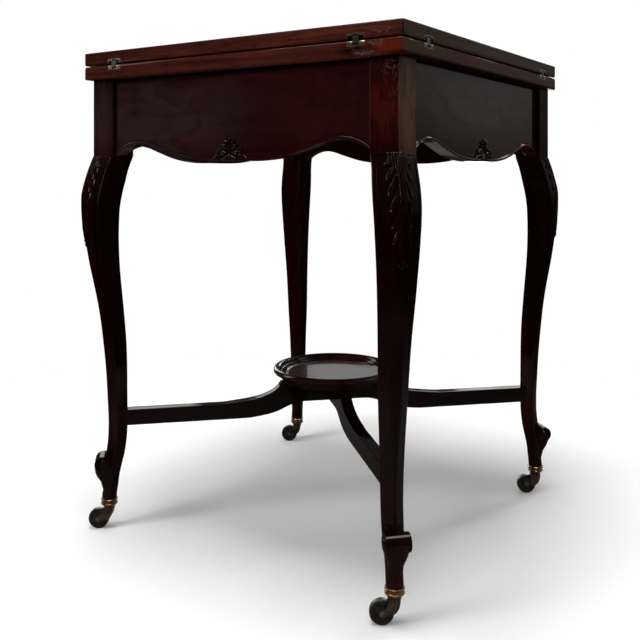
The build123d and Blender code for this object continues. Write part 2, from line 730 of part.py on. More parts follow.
def horn_outline():
    """Side view of the horn below its boss: heel behind the wheel, hood over it and cheek to the axle."""
    top = cup_low - horn_gap - horn_boss_height / 2
    drop = top - wheel_radius
    eye = horn_eye_radius
    bore_reach = wheel_radius + horn_wheel_gap
    reach = bore_reach + horn_hood
    angle = math.radians(horn_front_angle)
    tip_reach = bore_reach + horn_tip
    tip = (wheel_trail + tip_reach * math.cos(angle), wheel_radius + tip_reach * math.sin(angle))
    heel = [(-horn_heel, top), (-0.92 * horn_heel, top - 0.35 * drop), (-0.7 * horn_heel, top - 0.65 * drop),
            (-0.4 * horn_heel, top - 0.87 * drop), (0.3 * horn_heel, wheel_radius - 0.1 * drop),
            (wheel_trail - 1.2 * eye, wheel_radius - 0.75 * eye), (wheel_trail, wheel_radius - eye),
            (wheel_trail + 1.5 * eye, wheel_radius - 1.25 * eye), tip]
    lower = Spline(*[(x, 0, z) for x, z in heel],
                   tangents=((horn_heel / drop, 0, -1), (math.cos(angle), 0, math.sin(angle))))
    crown = (wheel_trail, 0, wheel_radius + reach)
    front = (wheel_trail + reach * math.cos(math.pi / 4), 0, wheel_radius + reach * math.sin(math.pi / 4))
    hood = ThreePointArc(lower @ 1, front, crown)
    neck = Line(crown, (horn_heel, 0, top))
    return make_face(Curve() + [lower, hood, neck, Line(neck @ 1, lower @ 0)])


def caster_horn():
    """Cast horn: riveted swivel stem, boss, heel behind the wheel and two cheeks down to the axle."""
    boss_high = cup_low - horn_gap
    half = wheel_width / 2 + horn_side_gap + horn_cheek
    gap = wheel_width / 2 + horn_side_gap
    solid = extrude(horn_outline(), amount=half, dir=(0, 1, 0), both=True)
    solid += rod((0, 0, boss_high - horn_boss_height), (0, 0, 1), horn_boss_diameter / 2, horn_boss_height)
    head_low = cup_low + cup_floor + stem_head_gap
    solid += rod((0, 0, boss_high - horn_boss_height / 2), (0, 0, 1), stem_diameter / 2,
                 head_low - boss_high + horn_boss_height / 2)
    solid += rod((0, 0, head_low), (0, 0, 1), stem_head_diameter / 2, stem_head_height)
    solid -= rod((wheel_trail, -gap, wheel_radius), (0, 1, 0), wheel_radius + horn_wheel_gap, 2 * gap)
    solid -= rod((wheel_trail, -half - cut_overrun, wheel_radius), (0, 1, 0),
                 axle_diameter / 2, 2 * (half + cut_overrun))
    return solid


def caster_wheel():
    """Wheel with eased tread, dished faces and a hub bored for the axle."""
    half = wheel_width / 2
    face_radius = wheel_radius - wheel_edge_chamfer
    dish, hub = wheel_dish_diameter / 2, wheel_hub_diameter / 2
    bore = axle_diameter / 2 + axle_clearance
    side = [(bore, half), (hub, half), (hub + wheel_dish_depth, half - wheel_dish_depth),
            (dish - wheel_dish_depth, half - wheel_dish_depth), (dish, half), (face_radius, half),
            (wheel_radius, half - wheel_edge_chamfer)]
    outline = side + [(x, -z) for x, z in reversed(side)]
    face = make_face(Polyline(*[(x, 0, z) for x, z in outline], close=True))
    return Plane(origin=(wheel_trail, 0, wheel_radius), z_dir=(0, 1, 0)) * revolve(face, axis=Axis.Z)


def caster_axle():
    """Riveted axle pin through both cheeks and the wheel."""
    half = wheel_width / 2 + horn_side_gap + horn_cheek
    solid = rod((wheel_trail, -half, wheel_radius), (0, 1, 0), axle_diameter / 2, 2 * half)
    for side in (-1, 1):
        solid += rod((wheel_trail, side * half, wheel_radius), (0, side, 0), axle_head_diameter / 2, axle_head_height)
    return solid


def save(name, shapes):
    """Writes one node, made of one solid or a group of separate solids."""
    solids = []
    for shape in shapes:
        solids += list(shape.solids())
    export_step(solids[0] if len(solids) == 1 else Compound(children=solids), f"parts/{name}.step")


def build():
    """Makes every piece and writes its file."""
    os.makedirs("parts", exist_ok=True)
    plain_leg = leg()
    legs = [turned(plain_leg, quarter) for quarter in range(4)]
    dowel_hole = stretcher_dowel(bar_low + bar_height / 2, 1)
    bar = stretcher_bar([legs[0], legs[2]])
    bars = (bar, turned(bar, 1))
    for quarter, corner in enumerate(corners):
        save(f"leg_{corner}", [legs[quarter] - turned(dowel_hole, quarter)])
    half_lap = (hub_low + hub_high) / 2
    half = bar_width / 2
    across = 2 * bar_width
    laps = (box_between((-half, -half, half_lap), (half, half, hub_high + across)),
            box_between((-half, -half, hub_low - across), (half, half, half_lap)))
    screws = [tray_screw(quarter) for quarter in range(4)]
    for name, bar, lap in zip(("lower", "upper"), bars, laps):
        solid = bar - Rot(0, 0, 45) * lap
        for screw in screws:
            solid -= screw
        save(f"stretcher_{name}", [solid])
    dish = tray()
    for screw in screws:
        dish -= screw
    save("tray", [dish])
    save("tray_screws", screws)

    one_frieze = frieze()
    brace_screws = [brace_screw(), mirrored_diagonal(brace_screw())]
    for quarter, side in enumerate(sides):
        solid = turned(one_frieze, quarter)
        for number in (quarter, quarter - 1):
            for screw in brace_screws:
                solid -= turned(screw, number)
        save(f"frieze_{side}", [solid])
    save("frieze_carvings", [turned(frieze_carving(), quarter) for quarter in range(4)])
    save("corner_braces", [turned(corner_brace(), quarter) for quarter in range(4)])
    save("brace_screws", [turned(screw, quarter) for quarter in range(4) for screw in brace_screws])
    save("board_ledgers", [turned(ledger(), quarter) for quarter in range(4)])
    save("pivot_board", [pivot_board()])
    save("bearing_disc", [bearing_disc()])

    save("bed", [bed()])
    save("bed_cloth", [bed_cloth()])
    save("pivot_bolt", [pivot_bolt()])
    save("pivot_washer", [pivot_washer()])
    save("pivot_nut", [pivot_nut()])
    save("stop_peg", [stop_peg()])
    bed_plates = at_hinges(hinge_plate(bed_high, -1))
    bed_screws = at_hinges(hinge_screw(-1, bed_high, -1)) + at_hinges(hinge_screw(1, bed_high, -1))
    save("bed_hinge_plates", [turned(plate, quarter) for quarter in range(4) for plate in bed_plates])
    save("bed_hinge_screws", [turned(screw, quarter) for quarter in range(4) for screw in bed_screws])

    one_leaf = leaf()
    one_cloth = leaf_cloth()
    leaf_brass = at_hinges(hinge_plate(leaf_low, 1))
    leaf_brass += at_hinges(hinge_screw(-1, leaf_low, 1)) + at_hinges(hinge_screw(1, leaf_low, 1))
    link_brass = at_hinges(hinge_link()) + at_hinges(hinge_pin(bed_pin_z)) + at_hinges(hinge_pin(leaf_pin_z))
    for quarter, side in enumerate(sides):
        save(f"leaf_{side}", [turned(one_leaf, quarter)])
        save(f"leaf_cloth_{side}", [turned(one_cloth, quarter)])
        save(f"leaf_hinge_{side}", [turned(piece, quarter) for piece in leaf_brass])
        save(f"hinge_links_{side}", [turned(piece, quarter) for piece in link_brass])

    save("caster_cups", [turned(caster_cup(), quarter) for quarter in range(4)])
    horn, wheel, axle = caster_horn(), caster_wheel(), caster_axle()
    for corner, place in zip(corners, caster_places()):
        save(f"horn_{corner}", [placed_caster(horn, place)])
        save(f"wheel_{corner}", [placed_caster(wheel, place)])
        save(f"axle_{corner}", [placed_caster(axle, place)])


build()
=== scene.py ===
import math
import bpy
import numpy as np
from mathutils import Matrix, Vector


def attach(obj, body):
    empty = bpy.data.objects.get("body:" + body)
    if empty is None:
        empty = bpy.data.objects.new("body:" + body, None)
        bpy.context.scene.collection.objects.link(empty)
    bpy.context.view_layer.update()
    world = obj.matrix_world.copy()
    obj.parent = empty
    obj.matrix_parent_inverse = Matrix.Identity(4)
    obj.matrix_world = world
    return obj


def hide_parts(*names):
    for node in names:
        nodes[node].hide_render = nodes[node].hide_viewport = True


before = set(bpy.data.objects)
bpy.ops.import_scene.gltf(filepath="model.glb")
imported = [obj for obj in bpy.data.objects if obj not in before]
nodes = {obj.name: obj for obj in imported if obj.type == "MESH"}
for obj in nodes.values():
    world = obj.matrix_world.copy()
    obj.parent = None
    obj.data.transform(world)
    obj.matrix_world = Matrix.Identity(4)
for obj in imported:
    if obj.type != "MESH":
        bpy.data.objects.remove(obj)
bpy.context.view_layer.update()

# A folding card table, in metres. The front faces -Y and the floor is at zero.

# ---- Legs ----
# Four cabriole legs, each cut from one piece of mahogany: square post, carved knee, shank and scrolled foot.
# They are French polished nearly black. The friezes are tenoned into the posts, the stretcher is dowelled in.


def fill(tree, socket, value):
    """Links another node's output into an input, or sets the input to a fixed value."""
    if isinstance(value, bpy.types.NodeSocket):
        tree.links.new(value, socket)
    else:
        socket.default_value = value


def set_inputs(tree, node, *entries, **values):
    """Sets a node's own settings or its inputs by name, then the inputs that are given in order."""
    for key, value in values.items():
        socket = node.inputs.get(key.replace("_", " "))
        if socket is None:
            setattr(node, key, value)
        else:
            fill(tree, socket, value)
    for socket, value in zip(node.inputs, entries):
        fill(tree, socket, value)
    return node


def new_node(tree, kind, *entries, **values):
    """A shader node with its settings and inputs."""
    return set_inputs(tree, tree.nodes.new("ShaderNode" + kind), *entries, **values)


def maths(tree, operation, *entries, kind="Math", result="Value"):
    """The result of a maths node."""
    return new_node(tree, kind, *entries, operation=operation).outputs[result]


def noise(tree, coords, scale, detail, rough=0.5, distortion=0.0):
    """Soft noise from 0 to 1 in the given coordinates."""
    return new_node(tree, "TexNoise", Vector=coords, Scale=scale, Detail=detail, Roughness=rough,
                    Distortion=distortion).outputs["Fac"]


def colour_ramp(tree, source, stops):
    """Colours along a value."""
    ramp = new_node(tree, "ValToRGB", Fac=source)
    elements = ramp.color_ramp.elements
    while len(elements) < len(stops):
        elements.new(0.5)
    for element, (place, colour) in zip(elements, stops):
        element.position = place
        element.color = (*colour, 1.0)
    return ramp.outputs["Color"]


def value_range(tree, source, low, high, to_low, to_high, **values):
    """A value moved from one range to another, clamped."""
    return new_node(tree, "MapRange", Value=source, From_Min=low, From_Max=high, To_Min=to_low,
                    To_Max=to_high, **values).outputs["Result"]


def bump(tree, height, strength, distance, **values):
    """The normals of a surface that a height roughens by a distance."""
    return new_node(tree, "Bump", Height=height, Strength=strength, Distance=distance,
                    **values).outputs["Normal"]


def tint(tree, colour, other, factor=None):
    """Mixes a second colour into a first by a factor, or without one multiplies the first by it."""
    blend, share = ("MULTIPLY", 1.0) if factor is None else ("MIX", factor)
    mix = new_node(tree, "Mix", data_type="RGBA", blend_type=blend, Factor=share)
    fill(tree, mix.inputs[6], colour)
    fill(tree, mix.inputs[7], (*other, 1.0) if isinstance(other, tuple) else other)
    return mix.outputs[2]


def start_material(name):
    """A fresh material with its tree, its shader and the object's own coordinates."""
    material = bpy.data.materials.new(name)
    material.use_nodes = True
    tree = material.node_tree
    return material, tree, tree.nodes["Principled BSDF"], new_node(tree, "TexCoord").outputs["Object"]


def moved_coords(tree, coords, **values):
    """Coordinates moved, turned or drawn out."""
    return new_node(tree, "Mapping", vector_type="TEXTURE", Vector=coords, **values).outputs["Vector"]


def grain_coords(tree, coords, turn, stretch):
    """Coordinates turned to the grain and drawn out along it."""
    return moved_coords(tree, coords, Rotation=turn, Scale=(1.0, 1.0, stretch))


along_z, along_x, along_y = (0.0, 0.0, 0.0), (0.0, math.pi / 2, 0.0), (math.pi / 2, 0.0, 0.0)


def near_place(tree, coords, place, reach, scale, low, high):
    """A mask of ragged patches around one place, drawn out as its reach is and fading out over it."""
    placed = moved_coords(tree, coords, Location=place, Scale=reach)
    nearness = value_range(tree, maths(tree, "LENGTH", placed, kind="VectorMath"), 0.35, 1.0, 1.0, 0.0)
    patches = value_range(tree, noise(tree, placed, scale, 4.0, 0.55, 1.3), low, high, 0.0, 1.0)
    return maths(tree, "MULTIPLY", nearness, patches)


def mahogany(name, turn, dark, middle, light, coat, roughness=0.32, specular=0.0, painted_shadow_above=None, wear_and_light_patches=()):
    """Polished mahogany: ribbon figure, fine fibres, pores, patches of wear and painted light, a painted shadow above a
    height, polish gathered in hollows with painted shade there, and a rippled coat.
    """
    material, tree, shader, coords = start_material(name)
    figure_coords, fibre_coords = grain_coords(tree, coords, turn, 14.0), grain_coords(tree, coords, turn, 34.0)
    ribbon = noise(tree, figure_coords, 15.0, 2.0, 0.5, 0.4)
    fibres = noise(tree, fibre_coords, 520.0, 4.0, 0.7, 0.2)
    cloudy = noise(tree, coords, 9.0, 3.0)
    colour = colour_ramp(tree, noise(tree, figure_coords, 46.0, 7.0, 0.62, 0.9),
                         ((0.30, dark), (0.52, middle), (0.74, light)))
    for grain, high, darker, lighter in ((ribbon, 0.65, 0.72, 1.18), (cloudy, 0.68, 0.74, 1.18),
                                         (fibres, 0.65, 0.80, 1.14)):
        colour = tint(tree, colour, value_range(tree, grain, 0.35, high, darker, lighter))
    open_pores = value_range(tree, noise(tree, fibre_coords, 1500.0, 1.0), 0.60, 0.68, 0.0, 0.6)
    colour = tint(tree, colour, tuple(0.25 * c for c in dark), open_pores)
    for place, reach, tone, scale, low, high in wear_and_light_patches:
        colour = tint(tree, colour, tone, near_place(tree, coords, place, reach, scale, low, high))
    # painted shadow: the colour darkens above a height, where the top's overhang shades the posts and the friezes
    if painted_shadow_above is not None:
        height = new_node(tree, "SeparateXYZ", Vector=coords).outputs["Z"]
        painted_shadow = value_range(tree, height, *painted_shadow_above, 1.0, 0.22, interpolation_type="SMOOTHSTEP")
        colour = tint(tree, colour, painted_shadow)
    # polish gathered in carved cuts and painted shade there darken the colour, by a per-point mask
    grime_and_shade = new_node(tree, "Attribute", attribute_name="grime_and_shade").outputs["Fac"]
    colour = tint(tree, colour, tuple(0.15 * c for c in dark), grime_and_shade)
    pore_bump = bump(tree, open_pores, 0.35, 0.0002, invert=True, Normal=bump(tree, fibres, 0.18, 0.0002))
    set_inputs(tree, shader, Base_Color=colour, Normal=pore_bump,
               Roughness=value_range(tree, cloudy, 0.3, 0.7, roughness - 0.05, roughness + 0.10),
               Specular_IOR_Level=specular, Coat_Weight=coat, Coat_Roughness=0.09,
               Coat_Normal=bump(tree, noise(tree, coords, 34.0, 2.0), 0.10, 0.0006))
    return material


corner_names = ("back_right", "back_left", "front_left", "front_right")
side_names = ("front", "right", "back", "left")
# redder and lighter wood on the posts and knees, partly where hands have worn the dark polish thin and partly painted
# light; scratches beside the near hinge; a lighter right face of the near post that is partly painted sheen; a grey
# patch on the front left post; and painted shade darkening the near shank
leg_wear_and_painted_light = (((0.0, 0.0, 0.630), (0.6, 0.6, 0.080), (0.030, 0.0026, 0.0018), 6.0, 0.30, 0.62),
            ((0.2485, -0.270, 0.645), (0.034, 0.010, 0.070), (0.046, 0.0056, 0.0036), 2.2, 0.34, 0.56),
            ((0.2565, -0.270, 0.683), (0.018, 0.006, 0.012), (0.105, 0.058, 0.050), 5.0, 0.52, 0.64),
            ((0.262, -0.270, 0.655), (0.010, 0.006, 0.040), (0.090, 0.034, 0.026), 6.0, 0.55, 0.68),
            # partly painted sheen: the lighter right face of the near post
            ((0.270, -0.2485, 0.640), (0.004, 0.040, 0.110), (0.118, 0.066, 0.038), 2.0, 0.14, 0.50),
            ((-0.2485, -0.270, 0.640), (0.030, 0.010, 0.090), (0.026, 0.0125, 0.0125), 2.2, 0.16, 0.50),
            # painted shade: the near shank darkened
            ((0.255, -0.255, 0.300), (0.050, 0.050, 0.240), (0.0058, 0.0006, 0.0004), 3.0, 0.10, 0.40))
# painted shadow at the tops of the posts, under the top's overhang
leg_polish = mahogany("leg_polish", along_z, (0.0034, 0.0003, 0.0002), (0.0080, 0.0006, 0.0005),
                      (0.020, 0.0015, 0.0011), coat=0.075, roughness=0.22, painted_shadow_above=(0.6900, 0.6970), wear_and_light_patches=leg_wear_and_painted_light)
mm = 0.001
table_high, frame_high, cup_high = 0.738, 0.6966, 0.0466
post_width, half_frame = 0.043, 0.270
post_bottom = 0.784 * table_high
half_caster = half_frame - post_width * (0.656 - 0.521 / 2)
outermost = 285.3  # how far out in mm the solid's knees reach
# levels of the leg from the post's foot to the cup, as in the solid: height, set back, side, arris radii
leg_levels = np.array((
    (1.0, 1.0, 1.0, 0.05, 0.03), (0.965, 0.907, 1.035, 0.10, 0.067), (0.927, 0.819, 1.06, 0.08, 0.10),
    (0.89, 0.737, 1.06, 0.065, 0.125), (0.85, 0.679, 1.037, 0.065, 0.15), (0.811, 0.66, 1.0, 0.07, 0.19),
    (0.773, 0.651, 0.96, 0.07, 0.24), (0.732, 0.656, 0.916, 0.075, 0.30), (0.685, 0.674, 0.87, 0.08, 0.37),
    (0.638, 0.705, 0.826, 0.085, 0.437), (0.585, 0.749, 0.774, 0.09, 0.465), (0.52, 0.80, 0.728, 0.096, 0.479),
    (0.465, 0.837, 0.698, 0.1, 0.467), (0.407, 0.858, 0.658, 0.106, 0.459), (0.345, 0.865, 0.605, 0.115, 0.385),
    (0.285, 0.87, 0.565, 0.123, 0.288), (0.223, 0.874, 0.535, 0.13, 0.217), (0.176, 0.856, 0.521, 0.134, 0.178),
    (0.13, 0.802, 0.516, 0.15, 0.18), (0.097, 0.74, 0.512, 0.21, 0.23), (0.063, 0.686, 0.477, 0.29, 0.29),
    (0.0365, 0.672, 0.477, 0.39, 0.39), (0.014, 0.658, 0.507, 0.468, 0.468), (0.0, 0.656, 0.521, 0.495, 0.495)))


def smooth_through(places, values, wanted):
    """Values on a smooth curve through known points."""
    order = np.argsort(places)
    x, y = np.asarray(places, float)[order], np.asarray(values, float)[order]
    slope = np.gradient(y, x)
    i = np.clip(np.searchsorted(x, wanted) - 1, 0, len(x) - 2)
    span = x[i + 1] - x[i]
    t = (wanted - x[i]) / span
    return ((2 * t**3 - 3 * t**2 + 1) * y[i] + (t**3 - 2 * t**2 + t) * span * slope[i]
            + (3 * t**2 - 2 * t**3) * y[i + 1] + (t**3 - t**2) * span * slope[i + 1])


def ease(value, low, high):
    """Rises smoothly from 0 to 1 between two values."""
    t = np.clip((value - low) / (high - low), 0.0, 1.0)
    return t * t * (3 - 2 * t)


def side_of_ring(start, start_radius, start_angle, end, end_radius, shares):
    """Points, outward normals and distance run from the middle of one rounded arris to the next."""
    eighth = math.pi / 4
    first, last = eighth * start_radius, eighth * end_radius
    turn = start_angle + eighth
    out = np.array((math.cos(turn), math.sin(turn)))
    ahead = np.array((-out[1], out[0]))
    straight = float((end - start) @ ahead)
    run = shares * (first + straight + last)
    points, normals = np.empty((len(shares), 2)), np.empty((len(shares), 2))
    for number, d in enumerate(run):
        if d < first:
            angle = start_angle + d / start_radius
            normal = np.array((math.cos(angle), math.sin(angle)))
            points[number] = start + start_radius * normal
        elif d <= first + straight:
            normal = out
            points[number] = start + start_radius * out + (d - first) * ahead
        else:
            angle = turn + (d - first - straight) / end_radius
            normal = np.array((math.cos(angle), math.sin(angle)))
            points[number] = end + end_radius * normal
        normals[number] = normal
    return points, normals, run, first + straight + last


outer_count, inner_count = 72, 20
even = np.arange(outer_count) / outer_count
to_arris, from_arris = 1.4 * even - 0.4 * even**2, 0.6 * even + 0.4 * even**2
close_shares = 0.5 * (1 - np.cos(np.pi * np.arange(inner_count) / inner_count))


def leg_ring(inner, side, inner_radius, outer_radius):
    """One level of the back right leg, with each point's distance from the outer and from the inner arris."""
    outer = inner + side
    r, big = inner_radius, outer_radius
    centres = [np.array(c) for c in ((inner + r, inner + r), (outer - r, inner + r),
                                     (outer - big, outer - big), (inner + r, outer - r))]
    radii = (r, r, big, r)
    parts = [side_of_ring(centres[k], radii[k], math.pi * (1.25 + 0.5 * k), centres[(k + 1) % 4],
                          radii[(k + 1) % 4], (close_shares, to_arris, from_arris, close_shares)[k]) for k in range(4)]
    points = np.concatenate([p[0] for p in parts])
    normals = np.concatenate([p[1] for p in parts])
    face_run = parts[1][3]
    far = np.full(inner_count, 1.0)
    from_outer = np.concatenate([far, parts[1][2] - face_run, parts[2][2], far])
    from_inner = np.concatenate([far, parts[1][2], face_run - parts[2][2], far])
    return points, normals, from_outer, from_inner


def hump(value, centre, width):
    """A rounded hump of height 1 over a centre."""
    return np.exp(-((value - centre) / width)**2)


uncarved = -9.0  # a height in mm, far below the surface, that stands for no carving


def carved_ridge(s, z, path, widths, heights, fall, vein=0.0):
    """Height in mm of one rounded carved lobe that runs along a path, with a vein cut along its middle."""
    field = np.full(s.shape, uncarved)
    for k in range(len(path) - 1):
        (s0, z0), (s1, z1) = path[k], path[k + 1]
        length = math.hypot(s1 - s0, z1 - z0)
        t = np.clip(((s - s0) * (s1 - s0) + (z - z0) * (z1 - z0)) / length**2, 0.0, 1.0)
        away = np.hypot(s - s0 - t * (s1 - s0), z - z0 - t * (z1 - z0))
        width = widths[k] + t * (widths[k + 1] - widths[k])
        top = heights[k] + t * (heights[k + 1] - heights[k])
        crown = top - fall * (1 - np.sqrt(np.clip(1 - (away / width)**2, 0.0, 1.0)))
        crown -= vein * hump(away, 0.0, 0.55)
        field = np.maximum(field, np.where(away < width, crown, uncarved))
    return field


def leaf_reach(z):
    """How far in mm the carved leaf spreads to each side of the arris at a height."""
    return smooth_through((437, 446, 456, 470, 488, 508, 530, 551, 566, 579),
                          (1.0, 6.5, 11.5, 15.5, 18.0, 20.0, 22.5, 23.0, 19.0, 16.5), z)


def acanthus(s, z):
    """Height in mm of the carved leaf over the knee, mirrored about the arris, and how dark its cuts are: polish
    gathered there and painted shade under each blade's edge.
    """
    s = np.abs(s)
    share = s / leaf_reach(z)
    # each blade leaves the midrib steeply, runs down and outward and curls up at its tip, over the blade below it
    run = 50.0 * np.clip(share, 0.0, 1.3)**0.72 - 20.0 * np.clip(share - 0.74, 0.0, 1.0)
    phase = (583.0 - (z + run)) / 20.0
    part = np.mod(phase, 1.0)
    outward = np.clip(1.8 * share, 0.0, 1.0)
    edge = 1 - np.clip((part - 0.88) / 0.12, 0.0, 1.0)**2
    veins = 0.30 * np.abs(np.sin(np.pi * (3.0 * part + 0.1)))
    body = -1.0 + (2.0 * (0.12 + 0.88 * part**0.8) * edge - veins * outward) * (0.5 + 0.5 * outward)
    tip = 0.62 + 0.38 * np.sin(np.pi * part**1.25)**0.7
    knob = 1.0 * np.exp(-((share - 0.86) / 0.10)**2 - ((part - 0.70) / 0.16)**2)
    inside = 1 - ease(share, tip - 0.03, tip + 0.02)
    on_leaf = (share < tip + 0.02) & (phase > -2.2) & (z > 444.0)
    field = np.where(on_leaf, (body + knob) * inside - 1.3 * (1 - inside), uncarved)
    # painted shade under each blade's overhanging edge and between its veins, where polish also gathers
    between_veins = hump(np.mod(3.0 * part + 0.1, 1.0), 0.5, 0.12)
    dark = np.where(on_leaf, outward * (hump(part, 0.0, 0.13) + 0.5 * between_veins + (part > 0.93)), 0.0)
    # the midrib's reeds, the fan of reeds under the post, the curl beside it, and the beads at the leaf's end
    ridges = [([(place, 578.0), (place, 540.0), (0.8 * place, 495.0), (0.45 * place, 452.0)],
               (half, half, 0.85 * half, 0.6 * half), (top, top, top - 0.15, top - 0.5), 1.6)
              for place, half, top in ((0.0, 1.8, 0.95), (3.5, 1.6, 0.75))]
    ridges += [([(top, 577.8), (0.55 * top + 0.45 * foot, 0.5 * (578.0 + end)), (foot, end)],
                (2.1, 2.0, 0.8), (0.9, 0.9, -0.2), 1.9)
               for top, foot, end in ((7.6, 4.8, 540.0), (12.0, 8.2, 548.0), (16.4, 12.4, 557.0))]
    ridges += [([(17.4, 572.0), (19.0, 566.0), (21.8, 562.5), (23.2, 565.0)],
                (1.6, 1.9, 1.8, 1.5), (0.5, 0.9, 1.2, 1.0), 1.8)]
    ridges += [([(across, up), (across, up - 0.4)], (size, size), (0.9, 0.9), 1.8)
               for across, up, size in ((0.0, 448.5, 2.5), (5.4, 445.0, 2.4), (0.0, 441.5, 2.1))]
    for path, widths, tops, fall in ridges:
        field = np.maximum(field, carved_ridge(s, z, path, widths, tops, fall))
    return field, np.where(field > body + 0.1, 0.0, np.clip(dark, 0.0, 1.0))


def knee_relief(from_outer, from_inner, z, room):
    """How far in mm the carver left the surface above or below the plain leg, within the room there is outwards."""
    s, g = from_outer / mm, from_inner / mm
    above_shank, under_post = ease(z, 270.0, 340.0), 1 - ease(z, 574.0, 578.0)
    ground = -1.15 * (1 - ease(z, 574.5, 577.6)) * (0.35 + 0.65 * ease(z, 400.0, 470.0)) * above_shank
    bead = ground * ease(g, 3.6, 6.0) - 0.45 * hump(g, 6.6, 0.6) * above_shank * under_post
    reach = leaf_reach(z)
    web = ground - 0.55 * (1 - ease(np.abs(s), reach - 4.0, reach)) * ease(z, 438.0, 452.0) \
        * (1 - ease(z, 573.0, 577.5))
    plain = np.where(np.abs(s) < reach, np.minimum(web, bead), bead)
    leaf, dark = acanthus(s, z)
    sunk = max(0.0, 1.25 - room)
    leaf = leaf - sunk
    # a lip across the front of the ankle with a shallow hollow between it and the roll of the foot
    across = 1 - ease(np.abs(s), 12.0, 15.5)
    plain = plain + across * (0.8 * hump(z, 118.6, 1.3) - 0.8 * hump(z, 115.2, 1.5))
    relief = np.minimum(np.maximum(plain, leaf), room)
    # darkness of the cuts, deeper cuts darker: polish gathered there and painted shade
    grime_and_shade_in_cuts = np.maximum(dark, np.clip((-0.65 - sunk - relief) / 0.7, 0.0, 1.0))
    cut_grime_and_shade = np.where(leaf > uncarved + 1.0, grime_and_shade_in_cuts, np.clip(-0.35 * relief, 0.0, 0.5))
    return relief, np.where(np.abs(s) < 100.0, cut_grime_and_shade, 0.0)


def in_edit(*steps):
    """Runs mesh operators, each with its options, in the edit mode of the active piece."""
    bpy.ops.object.mode_set(mode="EDIT")
    for operator, options in steps:
        operator(**options)
    bpy.ops.object.mode_set(mode="OBJECT")


mesh = bpy.ops.mesh
everything, nothing = (mesh.select_all, {"action": "SELECT"}), (mesh.select_all, {"action": "DESELECT"})
faces_out = (mesh.normals_make_consistent, {"inside": False})


def started(name, add, **values):
    """A fresh piece from one of the plain mesh shapes."""
    bpy.ops.object.select_all(action="DESELECT")
    add(**values)
    piece = bpy.context.object
    piece.name = piece.data.name = name
    return piece


def tube_of_rings(name, rings, grime_and_shade=None):
    """A closed piece skinned over rings of points, with a cap at each end."""
    rings = np.array(rings)
    levels, around = rings.shape[:2]
    piece = started(name, mesh.primitive_grid_add, x_subdivisions=around, y_subdivisions=levels - 1)
    wrapped = np.concatenate([rings, rings[:, :1]], axis=1)
    piece.data.vertices.foreach_set("co", wrapped.astype(np.float32).reshape(-1))
    piece.data.transform(piece.matrix_world.inverted())
    # a per-point darkness for the cuts: gathered polish and painted shade
    if grime_and_shade is not None:
        grime_and_shade = np.array(grime_and_shade)
        wrapped = np.concatenate([grime_and_shade, grime_and_shade[:, :1]], axis=1)
        attribute = piece.data.attributes.new("grime_and_shade", "FLOAT", "POINT")
        attribute.data.foreach_set("value", wrapped.astype(np.float32).reshape(-1))
    in_edit(everything, (mesh.remove_doubles, {"threshold": 1e-6}), nothing, (mesh.select_mode, {"type": "EDGE"}),
            (mesh.select_non_manifold, {}), (mesh.fill_holes, {"sides": 0}), (mesh.select_mode, {"type": "VERT"}),
            everything, faces_out)
    return piece


def only(piece):
    """Makes one piece the selected and active one."""
    bpy.ops.object.select_all(action="DESELECT")
    piece.select_set(True)
    bpy.context.view_layer.objects.active = piece


def apply_modifier(piece, kind, **values):
    """Adds a modifier with its values and applies it."""
    only(piece)
    modifier = piece.modifiers.new(kind.lower(), kind)
    for key, value in values.items():
        setattr(modifier, key, value)
    bpy.ops.object.modifier_apply(modifier=modifier.name)


def unite(piece, other):
    """Joins another closed piece into a piece."""
    apply_modifier(piece, "BOOLEAN", operation="UNION", solver="EXACT", object=other)
    bpy.data.objects.remove(other)


def smooth_shade(piece, angle, *materials):
    """Smooth shading with sharp edges kept, and the piece's finishes."""
    only(piece)
    bpy.ops.object.shade_smooth_by_angle(angle=math.radians(angle))
    for material in materials:
        piece.data.materials.append(material)


def on_diagonal(out, across, up):
    """Points in the upright plane of a leg's diagonal and across it."""
    return np.column_stack([(out - across) / math.sqrt(2), (out + across) / math.sqrt(2), np.full(len(out), up)])


heights = np.concatenate([(696.6, 690.0, 640.0, 600.0, 584.0, 580.0, 579.2), np.arange(578.5, 436.0, -0.65),
                          np.arange(436.0, 132.0, -4.0), np.arange(132.0, 122.0, -1.8),
                          np.arange(122.0, 110.0, -0.7), np.arange(110.0, 46.7, -1.8), (46.6,)]) * mm
shares = np.clip((heights - cup_high) / (post_bottom - cup_high), 0.0, 1.0)
inset, side, inner_arris, outer_arris = (smooth_through(leg_levels[:, 0], column, shares)
                                         for column in leg_levels[:, 1:].T)
above, square, crisp = heights > post_bottom, 1.0, 1.0 / 43.0  # the post is square, with arrises eased by 1 mm
inset, side = np.where(above, square, inset), np.where(above, square, side)
inner_arris, outer_arris = np.where(above, crisp, inner_arris), np.where(above, crisp, outer_arris)
rings, grime_and_shade_rows = [], []
for z, i, w, a, b in zip(heights, inset, side * post_width, inner_arris, outer_arris):
    points, normals, from_outer, from_inner = leg_ring(half_frame - i * post_width, w, a * w, b * w)
    room = outermost - (half_frame - i * post_width + w) / mm
    relief = cut_grime_and_shade = np.zeros(len(points))
    if z < post_bottom:
        relief, cut_grime_and_shade = knee_relief(from_outer, from_inner, z / mm, room)
    relief = np.where(from_outer > 0.5, 0.0, relief)
    points = points + normals * relief[:, None] * mm
    rings.append(np.column_stack([points, np.full(len(points), z)]))
    grime_and_shade_rows.append(cut_grime_and_shade)
around = len(rings[0])
foot_angle = np.arctan2(rings[-1][:, 1] - half_caster, rings[-1][:, 0] - half_caster)
spigot_radius, spigot_heights = 0.0104, (46.5, 37.3)  # the leg's round end, which the caster's cup takes
for z in spigot_heights:
    rings.append(np.column_stack([half_caster + spigot_radius * np.cos(foot_angle),
                                  half_caster + spigot_radius * np.sin(foot_angle), np.full(around, z * mm)]))
    grime_and_shade_rows.append(np.zeros(around))
one_leg = tube_of_rings("one_leg", rings, grime_and_shade_rows)

